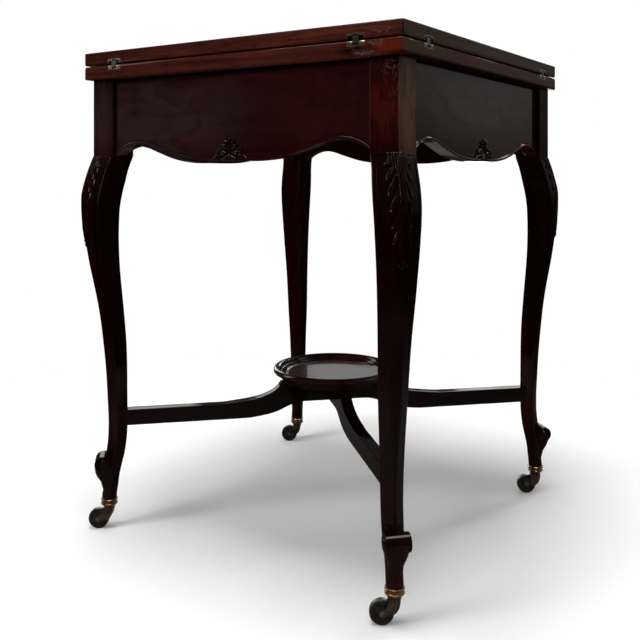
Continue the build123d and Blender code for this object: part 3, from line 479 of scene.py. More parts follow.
# scroll of the foot: a roll across the leg's diagonal with a volute and a round eye at each end, and its toe
scroll_height = cup_high + 0.107 * (post_bottom - cup_high)
scroll_radius, scroll_half, scroll_out = 0.012, 0.0165, 0.0097
leg_line = half_caster * math.sqrt(2)
roll_around, face_steps, roll_steps = 96, 34, 17
eased_by, bend = 0.0015, np.linspace(0.15, 1.0, 6) * np.pi / 2
face_radii = np.concatenate([np.linspace(0.0003, scroll_radius - 0.0017, face_steps),
                             scroll_radius - eased_by * (1 - np.sin(bend))])
face_back = np.concatenate([np.zeros(face_steps), eased_by * (1 - np.cos(bend))])
ends = np.concatenate([scroll_half - face_back, np.linspace(scroll_half - 0.0018, -scroll_half + 0.0018, roll_steps),
                       -(scroll_half - face_back)[::-1]])
radii = np.concatenate([face_radii, np.full(roll_steps, scroll_radius), face_radii[::-1]])
angle = np.linspace(0.0, 2 * np.pi, roll_around, endpoint=False)
rings, grime_and_shade_rows = [], []
spiral, eye = 3 * np.pi, 5.0
for end, radius in zip(ends, radii):
    depth, r = np.zeros(roll_around), radius / mm
    if radius < scroll_radius - 0.0002:
        run = np.mod(angle + math.radians(60), 2 * np.pi)
        for turns in (0, 1):
            whole = run + 2 * np.pi * turns
            line = 10.2 - 4.2 * whole / spiral
            depth += np.where(whole < spiral, 1.1 * hump(r, line, 0.6), 0.0)
        depth -= 2.2 * math.sqrt(max(0.0, 1 - (r / eye)**2))**0.7 if r < eye else 0.0
    across = end - math.copysign(1, end) * depth * mm
    rings.append(on_diagonal(leg_line + scroll_out + radius * np.cos(angle), across,
                             scroll_height + radius * np.sin(angle)))
    # the spiral groove and the eye darkened: gathered polish and painted shade
    grime_and_shade_rows.append(np.clip(depth, 0.0, 1.0))
unite(one_leg, tube_of_rings("roll", rings, grime_and_shade_rows))

# how far the toe stands out and how wide it is at steps of its drop, all as shares of the roll's size
toe_back = 0.35 * 0.0225
drops, outs = (0.1, 0.6, 1.29, 1.96, 2.46, 2.96, 3.6), (0.9, 0.92, 0.88, 0.742, 0.567, 0.483, 0.385)
toe_widths = (0.96, 0.97, 0.87, 0.67, 0.62, 0.6, 0.56)
rings = []
for drop in np.linspace(drops[0], drops[-1], 26):
    reach = 2 * scroll_radius * smooth_through(drops, outs, drop)
    breadth = 2 * scroll_half * smooth_through(drops, toe_widths, drop)
    length = reach + toe_back
    radius = 0.45 * min(length, breadth)
    middle = leg_line + (reach - toe_back) / 2
    corner_angle = np.arange(12) / 11 * np.pi / 2
    outline = []
    for quarter, (sx, sy) in enumerate(((1, 1), (-1, 1), (-1, -1), (1, -1))):
        a = corner_angle + quarter * np.pi / 2
        outline.append(np.column_stack([sx * (length / 2 - radius) + radius * np.cos(a),
                                        sy * (breadth / 2 - radius) + radius * np.sin(a)]))
    outline = np.concatenate(outline)
    rings.append(on_diagonal(middle + outline[:, 0], outline[:, 1], scroll_height - drop * scroll_radius))
unite(one_leg, tube_of_rings("toe", rings))
smooth_shade(one_leg, 40.0, leg_polish)


def turned_copy(piece, quarter, name):
    """A copy of a piece with its own mesh, turned by quarters about the table's axis."""
    copy = piece.copy()
    copy.data = piece.data.copy()
    copy.name = copy.data.name = name
    copy.data.transform(Matrix.Rotation(quarter * math.pi / 2, 4, "Z"))
    bpy.context.scene.collection.objects.link(copy)
    return copy


for quarter, corner in enumerate(corner_names):
    carved_leg = turned_copy(one_leg, quarter, f"carved_leg_{corner}")
    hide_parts(f"leg_{corner}")
    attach(carved_leg, "frame")
bpy.data.objects.remove(one_leg)

# ---- Friezes ----
# Four mahogany boards between the posts, tenoned into them, with a serpentine lower edge.
# A bead is worked along that edge with a fine quirk above it. Two boards run along X and two along Y.
half_span = half_frame - post_width
frieze_face, frieze_thickness = 0.263, 0.020
frieze_low = post_bottom - 0.0085
arch_rise = 0.026
apron_along = np.array((0.0, 0.22, 0.43, 0.59, 0.705, 0.79, 0.88, 0.95, 1.0))
apron_rise = np.array((0.0, 0.015, 0.25, 0.635, 0.925, 1.0, 0.905, 0.655, 0.365))
mirrored_along = np.concatenate([-apron_along[:0:-1], apron_along])
mirrored_rise = np.concatenate([apron_rise[:0:-1], apron_rise])
# section of a board: distance out from its face and height above its edge, for the bead, quirk and back
bead_section = [(-20.0, 0.6), (-19.4, 0.0), (0.0, 0.0), (0.9, 0.15), (1.55, 0.6), (1.9, 1.3), (2.0, 2.2), (1.93, 3.1),
                (1.65, 3.9), (1.15, 4.6), (0.5, 5.0), (0.0, 5.05), (-0.5, 5.15), (-0.75, 5.5), (-0.5, 5.85), (0.0, 6.0)]
wall_shares = (0.02, 0.1, 0.25, 0.5, 0.75, 0.93, 0.998)
rings = []
for x in np.linspace(-half_span, half_span, 191):
    edge = frieze_low + arch_rise * float(smooth_through(mirrored_along, mirrored_rise, np.array(x / half_span)))
    section = [(out * mm, edge + up * mm) for out, up in bead_section]
    foot = edge + 6.0 * mm
    section += [(0.0, foot + share * (frame_high - foot)) for share in wall_shares]
    section += [(-0.0003, frame_high), (-frieze_thickness, frame_high), (-frieze_thickness, 0.5 * (frame_high + edge))]
    rings.append([(x, -frieze_face - out, z) for out, z in section])
one_frieze = tube_of_rings("one_frieze", rings)
smooth_shade(one_frieze, 32.0)
frieze_tones = ((0.009, 0.0012, 0.0010), (0.021, 0.0026, 0.0020), (0.046, 0.0058, 0.0036))
# painted shadow along the tops of the boards, under the top's overhang
shadow_under_top = (0.6850, 0.6950)
# the polish has bloomed grey towards the left of the front, a grey that is partly painted sheen, and is worn thin and
# red beside the near post
front_wear_and_sheen = (((-0.16, -0.263, 0.640), (0.26, 0.012, 0.10), (0.029, 0.0150, 0.0145), 2.6, 0.22, 0.55),
              ((0.15, -0.263, 0.640), (0.14, 0.012, 0.09), (0.028, 0.0050, 0.0045), 2.4, 0.28, 0.56),
              ((0.02, -0.263, 0.640), (0.20, 0.010, 0.06), (0.045, 0.026, 0.022), 40.0, 0.68, 0.76))
# the side boards: a grey tone over their middle that is partly painted sheen, and a small near-black patch towards the
# front below the top
side_wear_and_sheen = (((0.263, -0.02, 0.655), (0.012, 0.24, 0.07), (0.044, 0.032, 0.030), 2.6, 0.18, 0.54),
             ((0.263, -0.100, 0.6830), (0.006, 0.012, 0.006), (0.004, 0.003, 0.003), 5.0, 0.52, 0.60))
frieze_polish_x = mahogany("frieze_polish_x", along_x, *frieze_tones, coat=0.08, painted_shadow_above=shadow_under_top, wear_and_light_patches=front_wear_and_sheen)
frieze_polish_y = mahogany("frieze_polish_y", along_y, *frieze_tones, coat=0.26, painted_shadow_above=shadow_under_top, wear_and_light_patches=side_wear_and_sheen)
for quarter, side_name in enumerate(side_names):
    board = turned_copy(one_frieze, quarter, f"beaded_frieze_{side_name}")
    board.data.materials.append(frieze_polish_x if side_name in ("front", "back") else frieze_polish_y)
    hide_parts(f"frieze_{side_name}")
    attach(board, "frame")
bpy.data.objects.remove(one_frieze)

# ---- Crests ----
# A small carved crest at the middle of each frieze: a lobed shell between two C-scrolls that grow out of the
# bead, with a spray of leaf over it on each side. Carved from the thickness of the board.
crest_ridges = [  # path, half widths, heights over the board's face, all in millimetres
    ([(35, 1.6), (29, 3.4), (23.6, 7.6), (20.8, 12.6), (18.6, 16.2), (15.2, 16.4), (14.6, 13.4), (17.0, 12.6)],
     (1.1, 1.4, 1.8, 2.0, 2.0, 1.9, 1.7, 1.5), (1.4, 2.4, 3.1, 3.5, 3.8, 3.9, 3.8, 3.9)),
    ([(0, 12), (0, 22), (0, 30.2)], (1.6, 2.4, 2.2), (2.2, 3.3, 4.2)),
    ([(1.8, 12), (4.0, 20), (5.6, 26.4), (7.6, 28.0)], (1.4, 2.1, 2.1, 1.2), (2.0, 3.0, 3.9, 3.4)),
    ([(2.6, 12), (6.4, 17), (9.6, 21.6), (12.6, 22.2)], (1.3, 1.9, 2.0, 1.2), (1.8, 2.7, 3.6, 3.1)),
    ([(20.6, 7.0), (16.0, 8.6), (11.4, 8.0), (8.2, 10.8), (10.6, 13.2), (13.0, 11.6)],
     (1.3, 2.0, 2.2, 2.0, 1.6, 1.3), (2.6, 3.9, 4.2, 4.1, 3.9, 3.7)),
    ([(14.2, 1.6), (10.0, 3.4), (6.0, 4.4), (3.6, 7.4)], (1.2, 1.8, 1.9, 1.4), (2.8, 3.9, 4.1, 3.4)),
    ([(0, 6.2), (0, 8.6)], (2.6, 2.1), (3.9, 3.4))]
crest_x, crest_up = np.linspace(-36.0, 36.0, 145), np.linspace(0.8, 33.0, 72)
grid_x, grid_up = np.meshgrid(np.abs(crest_x), crest_up, indexing="ij")
crest = np.full(grid_x.shape, uncarved)
for path, widths, tops in crest_ridges:
    crest = np.maximum(crest, carved_ridge(grid_x, grid_up, path, widths, tops, 2.2, 0.35 if len(path) > 2 else 0.0))
ground = 0.9 * (1 - ease(np.hypot(grid_x / 15.0, (grid_up - 10.0) / 15.0), 0.75, 1.0)) - 0.4
# the ground between the crest's lobes darkened: gathered polish and painted shade
crest_grime_and_shade = 0.7 * np.clip((ground - crest + 1.2) / 1.2, 0.0, 1.0) * (ground > -0.3)
crest = np.maximum(crest, ground)
rings, grime_and_shade_rows = [], []
for column, x in enumerate(crest_x):
    front = [(x * mm, -frieze_face - out * mm, frieze_low + up * mm) for out, up in zip(crest[column], crest_up)]
    back = [(x * mm, -frieze_face + 1.6 * mm, frieze_low + up * mm) for up in crest_up[::-1]]
    rings.append(front + back)
    grime_and_shade_rows.append(np.concatenate([crest_grime_and_shade[column], np.zeros(len(crest_up))]))
crest_polish = mahogany("crest_polish", along_z, (0.005, 0.0007, 0.0006), (0.013, 0.0018, 0.0014),
                        (0.032, 0.0044, 0.0030), coat=0.17, roughness=0.15)
one_crest = tube_of_rings("one_crest", rings, grime_and_shade_rows)
smooth_shade(one_crest, 50.0, crest_polish)
for quarter, side_name in enumerate(side_names):
    crest_piece = turned_copy(one_crest, quarter, f"crest_{side_name}")
    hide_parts("frieze_carvings")
    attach(crest_piece, "frame")
bpy.data.objects.remove(one_crest)

# ---- Inner frame ----
# Ledgers and pivot board of plain unpolished wood inside the frieze box, with braces screwed across the corners
# and a waxed disc on the board, on which the bed turns.


def plain_wood(name, turn, dark, light):
    """Unpolished carcase wood: straight grain, rays and a little dust."""
    material, tree, shader, coords = start_material(name)
    long_coords = grain_coords(tree, coords, turn, 18.0)
    figure = noise(tree, long_coords, 95.0, 6.0, 0.6, 0.5)
    rays = value_range(tree, noise(tree, long_coords, 600.0, 2.0), 0.55, 0.70, 1.0, 0.72)
    set_inputs(tree, shader, Base_Color=tint(tree, colour_ramp(tree, figure, ((0.32, dark), (0.68, light))), rays),
               Roughness=0.75, Specular_IOR_Level=0.3, Normal=bump(tree, figure, 0.35, 0.0003))
    return material


def eased(name, material, width):
    """A CAD node with its material and its edges eased by hand, as a maker leaves them."""
    node = nodes[name]
    node.data.materials.clear()
    node.data.materials.append(material)
    for kind, values in (("WELD", {"merge_threshold": 1e-6}),
                         ("DECIMATE", {"decimate_type": "DISSOLVE", "angle_limit": math.radians(1.0)}),
                         ("BEVEL", {"width": width, "segments": 2, "limit_method": "ANGLE",
                                    "angle_limit": math.radians(30.0)})):
        modifier = node.modifiers.new(kind.lower(), kind)
        for key, value in values.items():
            setattr(modifier, key, value)


carcase_x = plain_wood("carcase_x", along_x, (0.115, 0.062, 0.030), (0.235, 0.135, 0.068))
disc_wax = plain_wood("disc_wax", along_y, (0.20, 0.105, 0.045), (0.36, 0.21, 0.10))
for name in ("corner_braces", "board_ledgers", "pivot_board"):
    eased(name, carcase_x, 0.0006)
eased("bearing_disc", disc_wax, 0.0004)


def steel(name, bright, rust):
    """Plain steel with brown stain in patches."""
    material, tree, shader, coords = start_material(name)
    patch = noise(tree, coords, 260.0, 5.0, 0.6)
    set_inputs(tree, shader, Base_Color=colour_ramp(tree, patch, ((0.40, bright), (0.66, rust))), Metallic=1.0,
               Roughness=value_range(tree, patch, 0.35, 0.70, 0.32, 0.62))
    return material


dark_steel = steel("dark_steel", (0.30, 0.29, 0.27), (0.10, 0.065, 0.045))
for name in ("brace_screws", "tray_screws", "pivot_bolt", "pivot_nut", "pivot_washer"):
    eased(name, dark_steel, 0.0003)
eased("stop_peg", disc_wax, 0.0004)

# ---- Stretcher ----
# Two crossed mahogany bars, half lapped at a hub that they sweep up to, dowelled into the legs.
# They are polished as dark as the shanks, with the grain along each bar.
bar_tones = ((0.0016, 0.0004, 0.0003), (0.0040, 0.0008, 0.0007), (0.009, 0.0018, 0.0014))
for node_name, polish_name, bar_turn in (("stretcher_lower", "bar_polish", math.pi / 4),
                                         ("stretcher_upper", "cross_bar_polish", -math.pi / 4)):
    eased(node_name, mahogany(polish_name, (0.0, math.pi / 2, bar_turn), *bar_tones, coat=0.06), 0.0009)

# ---- Tray ----
# A round dish turned from one mahogany board: rolled rim, hollow below it, two fine reeds down to a flat floor.
# It is screwed on from below through the hub of the stretcher.


def arc_points(centre_r, centre_z, radius, start, end, count):
    """Points of a profile along an arc, angles in degrees."""
    return [(centre_r + radius * math.cos(math.radians(a)), centre_z + radius * math.sin(math.radians(a)))
            for a in np.linspace(start, end, count)]


def turned_piece(name, profile, steps):
    """A piece turned about the Z axis from a closed profile of radius and height in mm."""
    piece = started(name, mesh.primitive_circle_add, vertices=len(profile), fill_type="NOTHING")
    for vertex, (radius, z) in zip(piece.data.vertices, profile):
        vertex.co = (radius * mm, 0.0, z * mm)
    spin = {"steps": steps, "angle": 2 * math.pi, "center": (0.0, 0.0, 0.0), "axis": (0.0, 0.0, 1.0)}
    in_edit(everything, (mesh.spin, spin), everything, (mesh.remove_doubles, {"threshold": 2e-6}),
            (mesh.dissolve_degenerate, {"threshold": 1e-6}), nothing, (mesh.select_loose, {}),
            (mesh.delete, {"type": "EDGE"}), everything, faces_out)
    return piece


tray_low, tray_high = 0.217 * table_high + 0.054, 0.217 * table_high + 0.076
low, high = tray_low / mm, tray_high / mm
profile = [(0.0, low), (81.4, low), (82.0, low + 0.6), (82.0, low + 2.6), (83.2, low + 3.2)]
profile += arc_points(80.6, high - 9.2, 9.6, -56, -8, 8)
profile += [(91.4, high - 10.2), (92.2, high - 10.6)]
profile += arc_points(93.3, high - 5.2, 5.2, -78, 172, 30)
profile += [(87.7, high - 6.2), (87.2, high - 6.9)]
profile += arc_points(84.9, high - 7.2, 1.9, 12, 170, 9)
profile += [(82.4, high - 8.2), (80.0, high - 8.3)]
profile += arc_points(77.6, high - 8.9, 1.6, 16, 168, 8)
profile += [(75.4, high - 9.2), (73.4, high - 9.5), (60.0, high - 9.5), (0.0, high - 9.5)]
tray = turned_piece("turned_tray", profile, 144)
tray_tones = ((0.0070, 0.0012, 0.0010), (0.018, 0.0026, 0.0019), (0.044, 0.0064, 0.0040))
# darker tones for the faces under the rim: painted shade, with a duller coat
underside_shade_tones = ((0.0040, 0.0007, 0.0006), (0.010, 0.0015, 0.0011), (0.026, 0.0036, 0.0022))
smooth_shade(tray, 40.0, mahogany("tray_polish", along_x, *tray_tones, coat=0.17, roughness=0.24),
             mahogany("tray_underside_shaded", along_x, *underside_shade_tones, coat=0.06, roughness=0.40),
             mahogany("tray_floor", along_x, *tray_tones, coat=0.42, roughness=0.22, specular=0.02))
floor_radius, rim_depth = 0.0745, 0.0062
for face in tray.data.polygons:
    if face.normal.z > 0.98 and math.hypot(face.center.x, face.center.y) < floor_radius:
        face.material_index = 2
    # faces under the rim take the darker copy, as painted shade
    elif face.normal.z < 0.1 and face.center.z < tray_high - rim_depth:
        face.material_index = 1
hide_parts("tray")
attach(tray, "frame")

# ---- Top ----
# A thick square bed and four triangular leaves folded in on it like the flaps of an envelope. Solid mahogany with
# the grain along each outer edge, so that the figure meets in mitres on top. Edges eased by hand and worn.
top_tones = ((0.028, 0.0062, 0.0045), (0.064, 0.0145, 0.0098), (0.120, 0.0270, 0.0165))
# tones on the top's edges: pale scuffs, ruddy spots and dark marks, the last also painting the shadow under the bed's
# right overhang; mauve and olive are painted sheen on the right edges
pale, ruddy, soot_and_shadow = (0.115, 0.068, 0.060), (0.115, 0.0120, 0.0050), (0.010, 0.0028, 0.0022)
mauve_sheen, olive_sheen = (0.078, 0.044, 0.040), (0.070, 0.044, 0.023)
top_wear_sheen_and_shadow = (((0.262, -0.280, 0.7070), (0.036, 0.012, 0.017), ruddy, 2.4, 0.32, 0.48),
             ((0.214, -0.280, 0.7050), (0.034, 0.010, 0.012), soot_and_shadow, 2.0, 0.36, 0.52),
             ((0.2240, -0.280, 0.7010), (0.020, 0.008, 0.0050), pale, 2.5, 0.40, 0.62),
             ((0.2400, -0.280, 0.7125), (0.018, 0.008, 0.0085), pale, 3.0, 0.46, 0.66),
             ((0.2480, -0.280, 0.7270), (0.026, 0.008, 0.0100), pale, 3.5, 0.50, 0.70),
             ((0.060, -0.280, 0.7350), (0.300, 0.010, 0.004), pale, 9.0, 0.54, 0.72),
             ((0.060, -0.280, 0.7250), (0.240, 0.010, 0.012), soot_and_shadow, 7.0, 0.56, 0.68),
             ((0.281, 0.04, 0.7090), (0.004, 0.60, 0.040), mauve_sheen, 3.0, 0.08, 0.40),
             ((0.281, -0.25, 0.7120), (0.004, 0.14, 0.020), olive_sheen, 2.5, 0.14, 0.46),
             # painted shadow under the bed's right overhang
             ((0.275, 0.00, 0.6980), (0.040, 0.60, 0.0045), soot_and_shadow, 3.0, 0.04, 0.16),
             ((0.281, -0.12, 0.7070), (0.004, 0.08, 0.009), (0.110, 0.024, 0.010), 2.2, 0.42, 0.60))
# the leaves' right edges: grey and olive tones that are painted sheen
side_wear_and_sheen = (((0.281, 0.00, 0.7285), (0.004, 0.70, 0.018), (0.070, 0.054, 0.047), 3.0, 0.10, 0.50),
             ((0.281, -0.24, 0.7290), (0.004, 0.16, 0.018), olive_sheen, 2.5, 0.22, 0.55))
top_x = mahogany("top_x", along_x, *top_tones, coat=0.06, wear_and_light_patches=top_wear_sheen_and_shadow)
top_y = mahogany("top_y", along_y, *top_tones, coat=0.06, wear_and_light_patches=side_wear_and_sheen)
eased("bed", top_x, 0.0004)
for side_name in side_names:
    eased(f"leaf_{side_name}", top_x if side_name in ("front", "back") else top_y, 0.0005)

# ---- Cloths ----
# Green wool baize, glued into a shallow recess in the bed and in each leaf's inner face, where the players sit.
# It is cut in one square and four triangles, and hidden while the leaves lie folded in.


def baize(name):
    """Thick green wool cloth: short raised fibres, a faint weave and light rubbed places."""
    material, tree, shader, coords = start_material(name)
    fuzz = noise(tree, coords, 1500.0, 4.0, 0.75)
    wool = colour_ramp(tree, fuzz, ((0.34, (0.006, 0.040, 0.016)), (0.66, (0.022, 0.105, 0.045))))
    rubbed = value_range(tree, noise(tree, coords, 14.0, 4.0, 0.6), 0.35, 0.70, 0.85, 1.30)
    set_inputs(tree, shader, Base_Color=tint(tree, wool, rubbed), Roughness=0.95, Specular_IOR_Level=0.0,
               Sheen_Weight=0.03, Sheen_Roughness=0.5, Normal=bump(tree, fuzz, 0.6, 0.0004))
    return material


def flat_cloth(name, place_at, low, up):
    """A cut piece of cloth over a four-sided field that faces up or down; place_at gives its points from two shares."""
    cloth = started(name, mesh.primitive_grid_add, x_subdivisions=72, y_subdivisions=72, size=2.0)
    for vertex in cloth.data.vertices:
        u, v = vertex.co.x, 0.5 + 0.5 * vertex.co.y
        x, y = place_at(u, v)
        swell = 0.00005 * math.sin(61.0 * x + 1.3) * math.cos(53.0 * y)
        vertex.co = (x, y, low + swell)
    in_edit(everything, (mesh.remove_doubles, {"threshold": 1e-5}))
    apply_modifier(cloth, "SOLIDIFY", thickness=2 * half_cloth, offset=1.0 if up else -1.0)
    in_edit(everything, faces_out)
    smooth_shade(cloth, 40.0, green_baize)
    return cloth


green_baize = baize("green_baize")
half_cloth = 0.00055
bed_high, leaf_low, half_top, margin = 0.7169, 0.7185, 0.280, 0.019
bed_half = half_top - margin
bed_baize = flat_cloth("bed_baize", lambda u, v: (u * bed_half, (2 * v - 1) * bed_half), bed_high - half_cloth, True)
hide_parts("bed_cloth")
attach(bed_baize, "top")
reach = half_top - margin - 0.040 * math.sqrt(2)
one_baize = flat_cloth("one_baize", lambda u, v: (u * reach * (1 - v), -bed_half + v * reach),
                       leaf_low + half_cloth, False)
for quarter, side_name in enumerate(side_names):
    leaf_baize = turned_copy(one_baize, quarter, f"leaf_baize_{side_name}")
    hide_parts(f"leaf_cloth_{side_name}")
    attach(leaf_baize, f"leaf_{side_name}")
bpy.data.objects.remove(one_baize)

# ---- Hinges ----
# Eight cast brass card table hinges, let into the edges and screwed to the inner faces. Each has a plate on the bed
# and one on the leaf with a link and two pins between them. The brass is rubbed bright at its lips, dull elsewhere.


def brass(name, bright, dull, dirt, rough_low, rough_high, spread=0.5, lip=None):
    """Old brass: bright where it is handled, brown tarnish in patches, dirt in pits, darker behind its outer face, and
    painted shade on the hinges of the two side edges.
    """
    material, tree, shader, coords = start_material(name)
    patch = noise(tree, coords, 120.0, 6.0, 0.62, 0.4)
    fine = noise(tree, coords, 900.0, 3.0, 0.6)
    colour = tint(tree, colour_ramp(tree, patch, ((spread - 0.14, bright), (spread + 0.16, dull))), dirt,
                  value_range(tree, fine, 0.56, 0.70, 0.0, 0.75))
    if lip is not None:
        # how far out it lies, square on: brass behind the outer face is darkened nearly to the dirt colour, and the
        # hinges of the two side edges are painted darker than those of the front and back, as painted shade
        away = maths(tree, "ABSOLUTE", coords, kind="VectorMath", result="Vector")
        apart = new_node(tree, "SeparateXYZ", Vector=away).outputs
        far_out = maths(tree, "MAXIMUM", apart["X"], apart["Y"])
        for darkening in (value_range(tree, far_out, lip, lip + 0.0008, 0.92, 0.0),
                      value_range(tree, apart["X"], 0.2740, 0.2760, 0.0, 0.86)):
            colour = tint(tree, colour, dirt, darkening)
    set_inputs(tree, shader, Base_Color=colour, Roughness=value_range(tree, patch, 0.35, 0.68, rough_low, rough_high),
               Metallic=1.0, Normal=bump(tree, fine, 0.25, 0.0001))
    return material


plate_brass = brass("plate_brass", (0.150, 0.112, 0.056), (0.030, 0.020, 0.010), (0.005, 0.004, 0.003),
                    0.30, 0.50, 0.48, lip=0.2788)
link_brass = brass("link_brass", (0.026, 0.022, 0.014), (0.010, 0.009, 0.006), (0.005, 0.004, 0.003), 0.42, 0.65, 0.46)
screw_brass = brass("screw_brass", (0.42, 0.33, 0.18), (0.14, 0.10, 0.05), (0.02, 0.015, 0.01), 0.35, 0.6)
eased("bed_hinge_plates", plate_brass, 0.00025)
eased("bed_hinge_screws", screw_brass, 0.00015)
for side_name in side_names:
    eased(f"leaf_hinge_{side_name}", plate_brass, 0.00025)
    eased(f"hinge_links_{side_name}", link_brass, 0.0003)

# ---- Casters ----
# Each foot has a turned brass cup, a cast brass horn that swivels in it, and an iron wheel on a riveted axle.
# The horn's heel lies behind the wheel, and all four casters have come to rest turned the same way.
cup_profile = [(3.05, 35.3), (9.0, 35.3), (9.6, 35.5), (10.4, 36.0), (11.2, 36.8), (11.7, 37.7), (11.8, 38.1)]
cup_profile += arc_points(11.65, 39.3, 1.25, -70, 70, 9)
cup_profile += [(11.9, 41.0), (11.65, 41.8), (11.65, 42.6), (11.9, 43.4)]
cup_profile += arc_points(11.65, 45.0, 1.25, -70, 70, 9)
cup_profile += [(11.9, 46.45), (11.6, 46.6), (10.4, 46.6), (10.4, 37.3), (3.05, 37.3)]
one_cup = turned_piece("one_cup", cup_profile, 64)
one_cup.data.transform(Matrix.Translation((half_caster, half_caster, 0.0)))
cup_brass = brass("cup_brass", (0.120, 0.062, 0.028), (0.028, 0.014, 0.008), (0.009, 0.006, 0.004), 0.18, 0.36, 0.44)
smooth_shade(one_cup, 40.0, cup_brass)
for quarter, corner in enumerate(corner_names):
    cup = turned_copy(one_cup, quarter, f"caster_cup_{corner}")
    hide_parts("caster_cups")
    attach(cup, "frame")
bpy.data.objects.remove(one_cup)

horn_brass = brass("horn_brass", (0.052, 0.036, 0.024), (0.015, 0.011, 0.009), (0.004, 0.0035, 0.003), 0.32, 0.56, 0.47)
axle_steel = steel("axle_steel", (0.070, 0.062, 0.055), (0.024, 0.018, 0.014))


def wheel_iron(name):
    """Blackened iron with a dusty, worn tread."""
    material, tree, shader, coords = start_material(name)
    patch = noise(tree, coords, 150.0, 6.0, 0.65)
    iron = colour_ramp(tree, patch, ((0.36, (0.004, 0.0034, 0.003)), (0.56, (0.013, 0.0095, 0.0075)),
                                     (0.74, (0.045, 0.033, 0.025))))
    set_inputs(tree, shader, Base_Color=iron, Roughness=value_range(tree, patch, 0.35, 0.70, 0.30, 0.60),
               Specular_IOR_Level=0.08, Normal=bump(tree, noise(tree, coords, 1100.0, 2.0), 0.4, 0.0002))
    return material


wheel_radius, wheel_half, wheel_trail = 15.5, 5.0, 16.0
side = [(radius, wheel_half - sunk) for radius, sunk in (
    (2.05, 0.0), (5.2, 0.0), (5.8, 0.15), (6.2, 0.6), (6.9, 1.15), (8.0, 1.25), (9.6, 1.1), (10.4, 0.5), (11.0, 0.1),
    (11.6, 0.0), (13.4, 0.0))]
side += arc_points(wheel_radius - 2.0, wheel_half - 2.0, 2.0, 80, 8, 6)
wheel_profile = side + [(wheel_radius, 0.0)] + [(r, -z) for r, z in reversed(side)]
one_wheel = turned_piece("one_wheel", wheel_profile, 72)
one_wheel.data.transform(Matrix.Translation((wheel_trail * mm, 0.0, wheel_radius * mm))
                         @ Matrix.Rotation(math.pi / 2, 4, "X"))
smooth_shade(one_wheel, 40.0, wheel_iron("wheel_iron"))

# the horn: a heel behind the wheel and two slim cheeks that hook round to the axle, under a turned boss and stem
horn_half, horn_slot = 7.4, 5.6
head_low, head_high = 37.6, 1.4  # the stem's riveted head
horn_outline = [(-7.0, 33.2), (-6.85, 30.4), (-6.5, 27.4), (-5.8, 24.4), (-4.9, 21.8), (-3.9, 19.7), (-2.7, 17.9),
                (-0.9, 16.0), (1.8, 14.2), (5.2, 12.9), (8.8, 12.2), (11.8, 11.8)]
horn_outline += arc_points(wheel_trail, wheel_radius, 4.3, -118, 96, 22)
horn_outline += [(12.9, 20.6), (11.0, 22.4), (9.5, 24.9), (8.5, 27.8), (7.9, 30.6), (7.6, 33.2)]
one_horn = started("one_horn", mesh.primitive_circle_add, vertices=len(horn_outline), fill_type="NGON")
for vertex, (x, z) in zip(one_horn.data.vertices, horn_outline):
    vertex.co = (x * mm, -horn_half * mm, z * mm)
across = {"TRANSFORM_OT_translate": {"value": (0.0, 2 * horn_half * mm, 0.0)}}
in_edit(everything, (mesh.extrude_region_move, across), everything, faces_out)
for bore, reach in ((wheel_radius + 0.6, horn_slot), (2.0, 9.0)):
    cutter = started("cutter", mesh.primitive_cylinder_add, vertices=96, radius=bore * mm, depth=2 * reach * mm,
                     location=(wheel_trail * mm, 0.0, wheel_radius * mm), rotation=(math.pi / 2, 0.0, 0.0))
    bpy.ops.object.transform_apply(location=True, rotation=True, scale=True)
    apply_modifier(one_horn, "BOOLEAN", operation="DIFFERENCE", solver="EXACT", object=cutter)
    bpy.data.objects.remove(cutter)
boss_profile = ((0.0, 31.4), (7.9, 31.4), (8.5, 32.0), (8.5, 34.4), (7.9, 35.0), (3.0, 35.0), (3.0, head_low),
                (4.5, head_low), (4.5, head_low + head_high), (0.0, head_low + head_high))
unite(one_horn, turned_piece("boss", boss_profile, 48))
apply_modifier(one_horn, "BEVEL", width=0.0006, segments=3, limit_method="ANGLE", angle_limit=math.radians(45.0))
smooth_shade(one_horn, 40.0, horn_brass)
caster_turn = math.radians(213.4)
for corner, (sx, sy) in zip(corner_names, ((1, 1), (-1, 1), (-1, -1), (1, -1))):
    under_foot = Matrix.Translation((sx * half_caster, sy * half_caster, 0.0)) @ Matrix.Rotation(caster_turn, 4, "Z")
    wheel = turned_copy(one_wheel, 0, f"caster_wheel_{corner}")
    wheel.data.transform(under_foot)
    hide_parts(f"wheel_{corner}")
    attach(wheel, f"wheel_{corner}")
    horn = turned_copy(one_horn, 0, f"cast_horn_{corner}")
    horn.data.transform(under_foot)
    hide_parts(f"horn_{corner}")
    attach(horn, f"horn_{corner}")
    eased(f"axle_{corner}", axle_steel, 0.0003)
bpy.data.objects.remove(one_wheel)
bpy.data.objects.remove(one_horn)

# ---- Floor ----
# A round of pale floor under the table, which fades into the white of the backdrop all round.
# It keeps the table's soft shadow.
floor = started("floor", mesh.primitive_circle_add, vertices=128, radius=1.25, fill_type="NGON")
floor_paint, tree, shader, coords = start_material("floor_paint")
set_inputs(tree, shader, Base_Color=(0.92, 0.92, 0.92, 1.0), Roughness=0.9, Specular_IOR_Level=0.0)
fade = value_range(tree, maths(tree, "LENGTH", coords, kind="VectorMath"), 0.62, 1.22, 0.0, 1.0,
                   interpolation_type="SMOOTHSTEP")
clear = new_node(tree, "BsdfTransparent").outputs[0]
set_inputs(tree, tree.nodes["Material Output"],
           new_node(tree, "MixShader", fade, shader.outputs[0], clear).outputs[0])
floor.data.materials.append(floor_paint)

